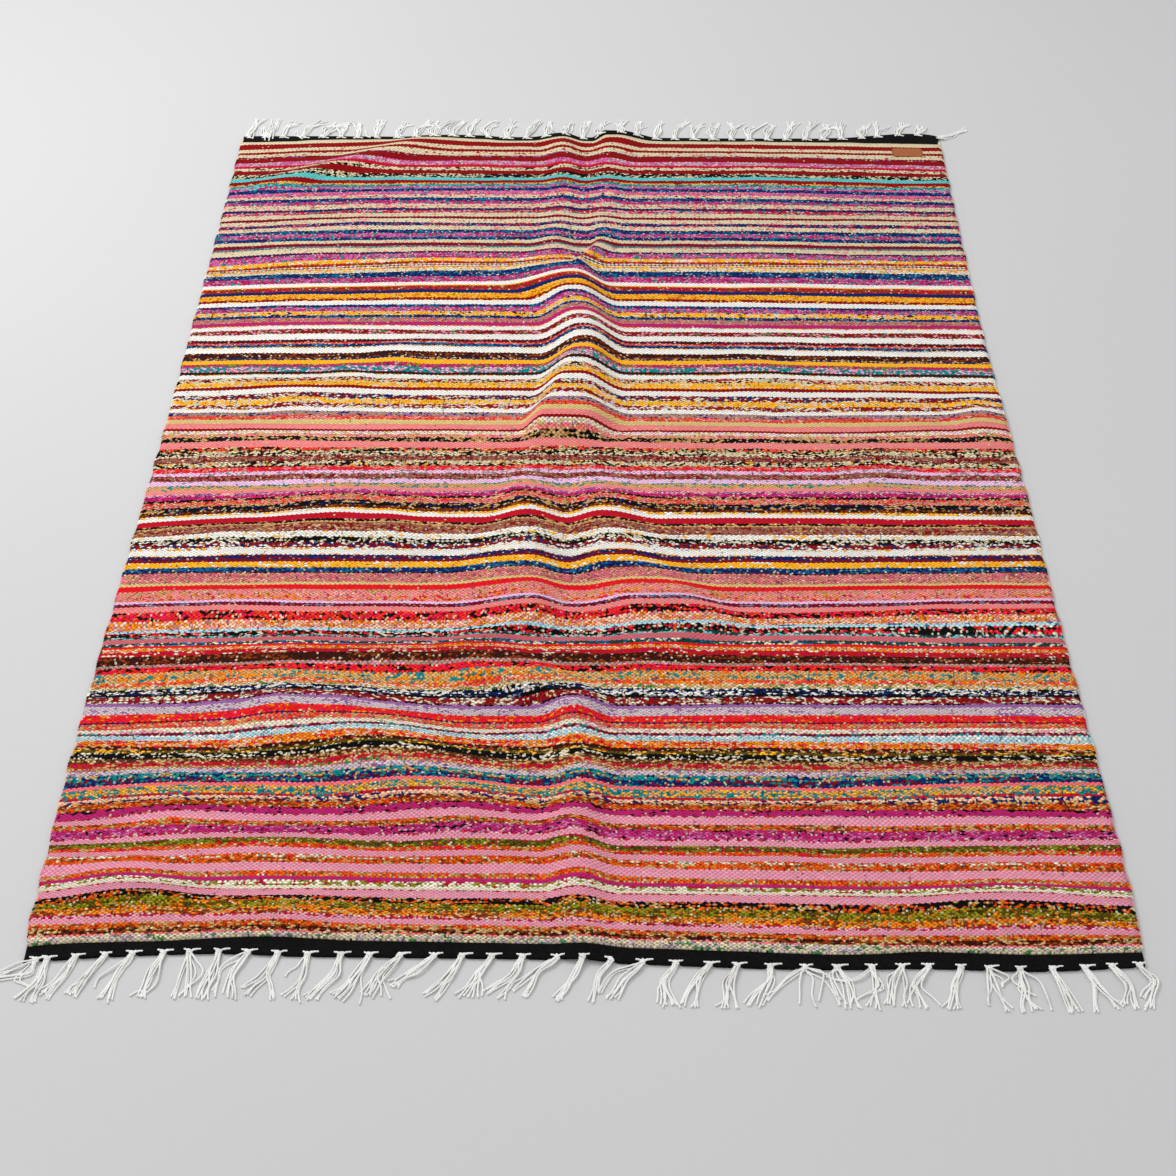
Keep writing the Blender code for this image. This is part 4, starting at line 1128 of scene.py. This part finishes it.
def label_leather():
    """Tan leather: pores, soft creases, and edges rubbed darker."""
    finish = Finish("label_leather", roughness=0.6)
    where = finish.object_place()
    sockets = {"Vector": where, "Scale": 950.0}
    pores = finish.node("ShaderNodeTexVoronoi", {}, sockets)
    grain = finish.noise(where, 240.0, 4.0, 0.6)
    patch = finish.noise(where, 60.0, 2.0)
    x, y, _ = finish.parts(where)
    aside = ((x - LABEL_CENTRE[0]) / (LABEL_SIZE[0] / 2)).absolute()
    beyond = ((y - LABEL_CENTRE[1]) / (LABEL_SIZE[1] / 2)).absolute()
    rubbed = aside.maths("MAXIMUM", aside, beyond).fade(0.86, 1.0)
    tan, dark = (*linear((0.68, 0.37, 0.12)), 1.0), (*linear((0.55, 0.27, 0.08)), 1.0)
    colour = finish.mix((grain * 0.7 + patch * 0.5 - 0.1).clamp(), dark, tan)
    colour = finish.tint(colour, 1.0 - rubbed * 0.22)
    height = pores * 0.6 + grain * 0.7
    return finish.finish(colour, finish.bump(height, 0.25 * MM, 0.6), 0.5 + grain * 0.25)


def floor_finish():
    """The plain pale floor."""
    finish = Finish("pale_floor", roughness=0.85)
    where = finish.object_place()
    cloud = finish.noise(where, 0.8, 2.0)
    fine = finish.noise(where, 60.0, 3.0, 0.6)
    pale, grey = (*linear((0.81, 0.81, 0.81)), 1.0), (*linear((0.78, 0.78, 0.785)), 1.0)
    colour = finish.mix(cloud * 0.7 + fine * 0.3, grey, pale)
    return finish.finish(colour, finish.bump(fine, 0.2 * MM, 0.2))


class Recipe(Graph):
    """A Geometry Nodes tree with its named sizes; it ends in plain mesh with one finish."""

    def __init__(self, name, **sizes):
        tree = bpy.data.node_groups.new(name, "GeometryNodeTree")
        super().__init__(tree)
        tree.interface.new_socket("Geometry", in_out="INPUT", socket_type="NodeSocketGeometry")
        for key, value in sizes.items():
            kind = "NodeSocketInt" if isinstance(value, int) else "NodeSocketFloat"
            tree.interface.new_socket(key, in_out="INPUT", socket_type=kind)
        tree.interface.new_socket("Finish", in_out="INPUT", socket_type="NodeSocketMaterial")
        tree.interface.new_socket("Geometry", in_out="OUTPUT", socket_type="NodeSocketGeometry")
        self.sizes = sizes
        self.given = self.node("NodeGroupInput")

    def size(self, name):
        """One of the tree's named inputs."""
        return self.given.other(name)

    def ring(self, sides, radius):
        """The round section of a thread."""
        sockets = {"Resolution": sides, "Radius": radius}
        return self.node("GeometryNodeCurvePrimitiveCircle", {}, sockets)

    def tube(self, curve, ring):
        """A closed thread along a curve."""
        sockets = {"Curve": curve, "Profile Curve": ring, "Fill Caps": True}
        return self.node("GeometryNodeCurveToMesh", {}, sockets)

    def label_points(self, geometry, kind, name, value):
        """Keep a value on the points as an attribute."""
        settings = {"data_type": kind, "domain": "POINT"}
        sockets = {"Geometry": geometry, "Name": name, "Value": value}
        return self.node("GeometryNodeStoreNamedAttribute", settings, sockets)

    def on_points(self, instance):
        """The shape on each point of the source, turned by the point's own attribute."""
        settings = {"data_type": "FLOAT_VECTOR"}
        turn = self.node("GeometryNodeInputNamedAttribute", settings, {"Name": "turn"})
        sockets = {"Points": self.given, "Instance": instance, "Rotation": turn}
        return self.node("GeometryNodeInstanceOnPoints", {}, sockets)

    def end(self, geometry):
        """Close the tree: instances made real, smooth, in their finish."""
        real = self.node("GeometryNodeRealizeInstances", {}, {0: geometry})
        smooth = self.node("GeometryNodeSetShadeSmooth", {}, {0: real})
        sockets = {"Geometry": smooth, "Material": self.size("Finish")}
        dressed = self.node("GeometryNodeSetMaterial", {}, sockets)
        self.node("NodeGroupOutput", {}, {0: dressed})

    def make(self, name, source, finish):
        """Run the tree on a source mesh and keep the result as a plain mesh piece."""
        holder = put_in_scene(name + "_source", source)
        modifier = holder.modifiers.new("recipe", "NODES")
        modifier.node_group = self.tree
        for item in self.tree.interface.items_tree:
            if item.in_out == "INPUT" and item.name in self.sizes:
                modifier[item.identifier] = self.sizes[item.name]
            elif item.in_out == "INPUT" and item.name == "Finish":
                modifier[item.identifier] = finish
        ready = holder.evaluated_get(bpy.context.evaluated_depsgraph_get())
        mesh = bpy.data.meshes.new_from_object(ready)
        holder.modifiers.remove(modifier)
        bpy.data.objects.remove(holder)
        mesh.name = name
        return put_in_scene(name, mesh)


def thread_recipe():
    """Twisted threads along the source's edges, each with a small knot at its tip."""
    recipe = Recipe(
        "cotton_threads", radius=THREAD_RADIUS, sides=THREAD_SIDES, step=THREAD_STEP,
        tip_knot_radius=TIP_KNOT_RADIUS,
    )
    curve = recipe.node("GeometryNodeMeshToCurve", {}, {0: recipe.given})
    curve = recipe.node("GeometryNodeCurveSplineType", {"spline_type": "CATMULL_ROM"}, {0: curve})
    sockets = {"Curve": curve, "Length": recipe.size("step")}
    curve = recipe.node("GeometryNodeResampleCurve", {"mode": "LENGTH"}, sockets)
    along = recipe.node("GeometryNodeSplineParameter", output="Length")
    curve = recipe.label_points(curve, "FLOAT", "along", along)
    ring = recipe.ring(recipe.size("sides"), recipe.size("radius"))
    around = recipe.node("GeometryNodeInputPosition")
    ring = recipe.label_points(ring, "FLOAT_VECTOR", "around", around)
    tube = recipe.tube(curve, ring)
    tips = recipe.node("GeometryNodeCurveEndpointSelection", {}, {"Start Size": 0, "End Size": 1})
    sockets = {"Segments": 6, "Rings": 4, "Radius": recipe.size("tip_knot_radius")}
    ball = recipe.node("GeometryNodeMeshUVSphere", {}, sockets)
    sockets = {"Points": curve, "Selection": tips, "Instance": ball}
    knots = recipe.node("GeometryNodeInstanceOnPoints", {}, sockets)
    joined = recipe.node("GeometryNodeJoinGeometry", {}, {0: tube})
    recipe.plug(joined.socket.node.inputs[0], knots)
    recipe.end(joined)
    return recipe


def knot_recipe():
    """An overhand knot on each point of the source, turned by the point's own attribute."""
    recipe = Recipe(
        "warp_knots", radius=THREAD_RADIUS, start=WRAP_START_RADIUS, end=WRAP_END_RADIUS,
        height=WRAP_HEIGHT,
    )
    sockets = {
        "Resolution": 11, "Rotations": WRAP_TURNS, "Start Radius": recipe.size("start"),
        "End Radius": recipe.size("end"), "Height": recipe.size("height"),
    }
    coil = recipe.node("GeometryNodeCurveSpiral", {}, sockets)
    wrap = recipe.tube(coil, recipe.ring(THREAD_SIDES, recipe.size("radius")))
    sockets = {
        "Geometry": wrap, "Translation": (0.0, 0.0, -WRAP_HEIGHT / 2),
        "Scale": (1.0, WRAP_FLATNESS, 1.0),
    }
    centred = recipe.node("GeometryNodeTransform", {}, sockets)
    recipe.end(recipe.on_points(centred))
    return recipe


def turn_recipe():
    """The weft's turns along a selvedge: a half ring on each point of the source."""
    recipe = Recipe("weft_turns", ring=TURN_RADIUS, radius=TURN_THREAD_RADIUS)
    sockets = {
        "Resolution": 6, "Radius": recipe.size("ring"),
        "Start Angle": -0.5 * math.pi, "Sweep Angle": math.pi,
    }
    arc = recipe.node("GeometryNodeCurveArc", {}, sockets)
    loop = recipe.tube(arc, recipe.ring(TURN_THREAD_SIDES, recipe.size("radius")))
    recipe.end(recipe.on_points(loop))
    return recipe


def source_mesh(name, points, edges=(), **vectors):
    """Points and edges for a recipe, with vector attributes."""
    mesh = bpy.data.meshes.new(name)
    mesh.from_pydata([tuple(point) for point in points], list(edges), [])
    for key, values in vectors.items():
        layer = mesh.attributes.new(key, "FLOAT_VECTOR", "POINT")
        layer.data.foreach_set("vector", np.asarray(values, np.float32).ravel())
    return mesh


def knots_of(locks):
    """Where the knots of a row of locks lie across the rug."""
    return np.array(sorted({lock.x for lock in locks}), float) * MM


def outer_edge(table, outward, knots):
    """The outer edge of a band, drawn in a little at each knot."""
    def line(x):
        away = np.abs(np.asarray(x)[..., None] - knots).min(-1)
        return end_line(table, x, "outer") - outward * EDGE_PULL * bell(away, EDGE_PULL_REACH)
    return line


def back_locks():
    """The locks of the far fringe: loose curls at each knot, and the corner locks."""
    rng = np.random.default_rng(FRINGE_SEED + 1)
    first, last = side(1.0, "left") / MM + BACK_SIDE_INSET, side(1.0, "right") / MM - BACK_SIDE_INSET
    places, leans = zip(*BACK_LEANS_MM)
    locks = []
    shifts = rng.uniform(-BACK_KNOT_SHIFT, BACK_KNOT_SHIFT, BACK_KNOTS - 1)
    for x in np.round(np.linspace(first, last, BACK_KNOTS)[:-1] + shifts):
        lean = np.interp(x, places, leans)
        for strands in BACK_LOCK_STRANDS:
            tip_x = x + lean + rng.normal(0, 9)
            mid_x = x + lean * 0.25 + rng.normal(0, 6)
            mid_y = BACK_MIDDLE_Y + rng.uniform(-4, 8)
            tip_y = BACK_TIP_Y + rng.uniform(-14, 10)
            locks.append(Lock(x, mid_x, mid_y, tip_x, tip_y, strands, rng.uniform(2, 5)))
    return [*locks, *BACK_CORNER_LOCKS_MM]


def lock_strands(line, outward, lock, knot_x, over_band, layers, rng):
    """The warp ends of one lock, from the band through their knot to their tips, with radii."""
    edge = float(line(knot_x))
    knot = np.array((knot_x, edge + outward * KNOT_OVERLAP))
    middle = np.array((lock.mid_x, lock.mid_y)) * MM
    tip = np.array((lock.tip_x, lock.tip_y)) * MM
    across = np.array((-(tip - knot)[1], (tip - knot)[0]))
    across /= np.hypot(*across)
    strands = []
    for index in range(lock.strands):
        place = 2.0 * index / (lock.strands - 1) - 1.0 if lock.strands > 1 else 0.0
        place += rng.uniform(-0.15, 0.15)
        layer = (index + layers) % 2
        wing = rng.uniform(-GATHER_LEFT, GATHER_RIGHT)
        points = []
        for share, inset, rise in ((1.0, 1.0, 0.1), (0.6, 0.85, 0.6), (0.25, 0.35, 1.2)):
            x, y = knot_x + wing * share, edge - outward * (GATHER_INSET * inset - EDGE_PULL * 0.3)
            points.append((x, y, float(lie(x, y)) + BAND_THICKNESS + rise * MM))
        low = float(lie(knot_x, edge))
        start = knot + across * place * KNOT_HALF_WIDTH * 0.6
        points.append((*start, low + KNOT_LIFT + (layer - 0.5) * MM))
        narrow = place * min(lock.spread + 0.5, 3.2) * MM
        way = (
            (0.28, start * 0.62 + (middle + across * narrow) * 0.38, 1.2),
            (0.5, middle + across * narrow, 1.6),
            (0.78, middle * 0.42 + tip * 0.58 + across * place * lock.spread * 0.62 * MM, 1.8),
            (1.0, tip + across * place * lock.spread * MM, 2.2),
        )
        shorter = (tip - middle) * rng.uniform(*TIP_SHORTENING)
        for t, spot, sway in way:
            spot = spot + across * rng.normal(0.0, 0.85) * sway * MM - shorter * max(t - 0.5, 0) * 2
            lift = THREAD_RADIUS * (1.0 + 2.0 * layer * max(0.0, 1.0 - t ** 2))
            if over_band and t > 0.5:
                lift += float(lie(*spot)) + CLOTH_THICKNESS * (1.0 if abs(spot[1]) < abs(edge) else 0.3)
            elif t < 0.4:
                lift += (low + BAND_THICKNESS) * (1.0 - t / 0.4) ** 2
            points.append((*spot, lift))
        strands.append((points, STRAND_WIDTHS))
    return strands


def make_fringe(name, line, locks, curls, outward, recipes, cotton):
    """One end's fringe: its warp ends in one piece and their knots in another."""
    rng = np.random.default_rng(FRINGE_SEED + outward)
    points, edges, radii, centres, turns, layers = [], [], [], [], [], {}
    for lock in [*locks, *curls]:
        knot_x = lock.x * MM
        layers[lock.x] = layers.get(lock.x, -1) + 1
        for strand, sizes in lock_strands(
            line, outward, lock, knot_x, lock in curls, layers[lock.x], rng
        ):
            edges += [(len(points) + i, len(points) + i + 1) for i in range(len(strand) - 1)]
            points += strand
            radii += sizes
        if layers[lock.x] == 0 and lock not in curls:
            edge = float(line(knot_x))
            low = float(lie(knot_x, edge)) + KNOT_LIFT
            centres.append((knot_x, edge + outward * KNOT_OVERLAP * 0.5, low))
            swing = math.atan2(-(lock.mid_x * MM - knot_x), lock.mid_y * MM - edge)
            turns.append((math.pi / 2 + rng.uniform(-0.25, 0.25), 0.0, swing))
    threads, knots = recipes
    source = source_mesh(name, points, edges)
    source.attributes.new("radius", "FLOAT", "POINT").data.foreach_set("value", radii)
    strands = threads.make(name + "_threads", source, cotton)
    wraps = knots.make(name + "_knots", source_mesh(name + "_k", centres, turn=turns), cotton)
    return strands, wraps


def make_turns(finish, recipe):
    """The weft's turns along both selvedges."""
    y = np.arange(FIRST_TURN, PAST_LAST_TURN, TURN_PITCH)
    points, turns = [], []
    for field, sign, scale in (("left", -1, 1.0), ("right", 1, RIGHT_SCALLOP_PITCH)):
        x = side(y, field) - sign * (scallop(y * scale) + TURN_OUTSET)
        low = lie(x, y) + ripple(x, y) + CLOTH_THICKNESS / 2
        points.append(np.column_stack((x, y, low)))
        turns.append(np.tile((0.0, 0.0, 0.0 if sign > 0 else math.pi), (len(y), 1)))
    points = np.concatenate(points)
    weave = np.column_stack((*weave_place(points[:, 0], points[:, 1]), np.zeros(len(points))))
    source = source_mesh("turns", points, turn=np.concatenate(turns), weave=weave)
    return recipe.make("selvedge_turns", source, finish)


def make_label(finish):
    """The leather label: a thin patch with rounded corners and soft edges, on top of the cloth."""
    bm = bmesh.new()
    bmesh.ops.create_cube(bm, size=1.0)
    bmesh.ops.scale(bm, verts=bm.verts, vec=LABEL_SIZE)
    upright = [edge for edge in bm.edges if abs(edge.verts[0].co.z - edge.verts[1].co.z) > MM]
    bmesh.ops.bevel(bm, geom=upright, offset=LABEL_CORNER, segments=5, affect="EDGES")
    rim = [edge for edge in bm.edges if abs(edge.verts[0].co.z - edge.verts[1].co.z) < 0.1 * MM]
    bmesh.ops.bevel(bm, geom=rim, offset=LABEL_EDGE, segments=2, affect="EDGES")
    x, y = LABEL_CENTRE
    low = float(lie(x, y)) + CLOTH_THICKNESS + PIECE_GAP + LABEL_SIZE[2] / 2
    bmesh.ops.translate(bm, verts=bm.verts, vec=(x, y, low + LABEL_RISE))
    bmesh.ops.recalc_face_normals(bm, faces=bm.faces)
    mesh = bpy.data.meshes.new("leather_patch")
    bm.to_mesh(mesh)
    bm.free()
    mesh.materials.append(finish)
    mesh.shade_smooth()
    mesh.set_sharp_from_angle(angle=math.radians(LABEL_SHARP_DEG))
    return put_in_scene("leather_patch", mesh)


def make_stage():
    """The floor, the soft light and the camera."""
    scene = bpy.context.scene
    mesh = bpy.data.meshes.new("floor")
    bm = bmesh.new()
    bmesh.ops.create_grid(bm, x_segments=2, y_segments=2, size=FLOOR_HALF_SIZE)
    bm.to_mesh(mesh)
    bm.free()
    mesh.materials.append(floor_finish())
    put_in_scene("floor", mesh)

    world = bpy.data.worlds.new("studio")
    world.use_nodes = True
    world.node_tree.nodes["Background"].inputs["Color"].default_value = (1.0, 1.0, 1.0, 1.0)
    world.node_tree.nodes["Background"].inputs["Strength"].default_value = SKY_STRENGTH
    scene.world = world
    lamp = bpy.data.lights.new("window_light", "AREA")
    lamp.energy, lamp.size = LAMP_POWER, LAMP_SIZE
    light = put_in_scene("window_light", lamp)
    light.location = LAMP_PLACE
    light.rotation_euler = (Vector((0, 0, 0)) - light.location).to_track_quat("-Z", "Y").to_euler()
    scene.view_settings.view_transform = "Standard"

    lens = bpy.data.cameras.new("camera")
    lens.sensor_width = SENSOR_MM
    lens.lens = FOCAL_LENGTH_PX / PICTURE_WIDTH_PX * SENSOR_MM
    camera = put_in_scene("camera", lens)
    yaw, dip, roll = (math.radians(v) for v in (CAMERA_YAW_DEG, CAMERA_DIP_DEG, CAMERA_ROLL_DEG))
    ahead = Vector((math.sin(yaw) * math.cos(dip), math.cos(yaw) * math.cos(dip), -math.sin(dip)))
    right = Vector((math.cos(yaw), -math.sin(yaw), 0.0))
    down = ahead.cross(right)
    across = math.cos(roll) * right + math.sin(roll) * down
    up = math.sin(roll) * right - math.cos(roll) * down
    turn = Matrix((across, up, -ahead)).transposed()
    camera.matrix_world = Matrix.Translation(CAMERA_PLACE) @ turn.to_4x4()
    scene.camera = camera


def dress(piece, slot, *nodes):
    """Let a piece ride on the rug and hide the solids that it stands for; its slot is not used."""
    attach(piece, "root")
    if nodes:
        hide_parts(*nodes)


def main():
    weave, black, cotton = striped_weave(), black_weave(), cotton_yarn()
    inner = lambda table: lambda x: end_line(table, x, "inner")
    cloth = sheet(
        "striped_cloth", inner(FRONT_END_MM), inner(BACK_END_MM), column_shares(), CLOTH_ROWS,
        CLOTH_THICKNESS, EDGE_ROUNDING, weave,
    )
    dress(cloth, "striped_weave", "rug_cloth")
    bands, fringes, recipes = [], [], (thread_recipe(), knot_recipe())
    for end, table, locks, curls, outward in (
        ("front", FRONT_END_MM, FRONT_LOCKS_MM, (), -1),
        ("back", BACK_END_MM, back_locks(), BACK_CURLS_MM, 1),
    ):
        line = outer_edge(table, outward, knots_of(locks))
        start = lambda x: end_line(table, x, "inner") + outward * PIECE_GAP
        lines = (line, start) if outward < 0 else (start, line)
        band = sheet(
            end + "_band", *lines, np.linspace(0, 1, BAND_COLUMNS), BAND_ROWS, BAND_THICKNESS,
            BAND_EDGE_ROUNDING, black,
        )
        dress(band, "black_weave", "end_band_" + end)
        bands.append(band)
        for piece in make_fringe(end + "_fringe", line, locks, curls, outward, recipes, cotton):
            dress(piece, "cotton_yarn", "fringe_" + end)
            fringes.append(piece)
    turns = make_turns(weave, turn_recipe())
    dress(turns, "striped_weave")
    label = make_label(label_leather())
    dress(label, "label_leather", "leather_label")
    make_stage()


main()
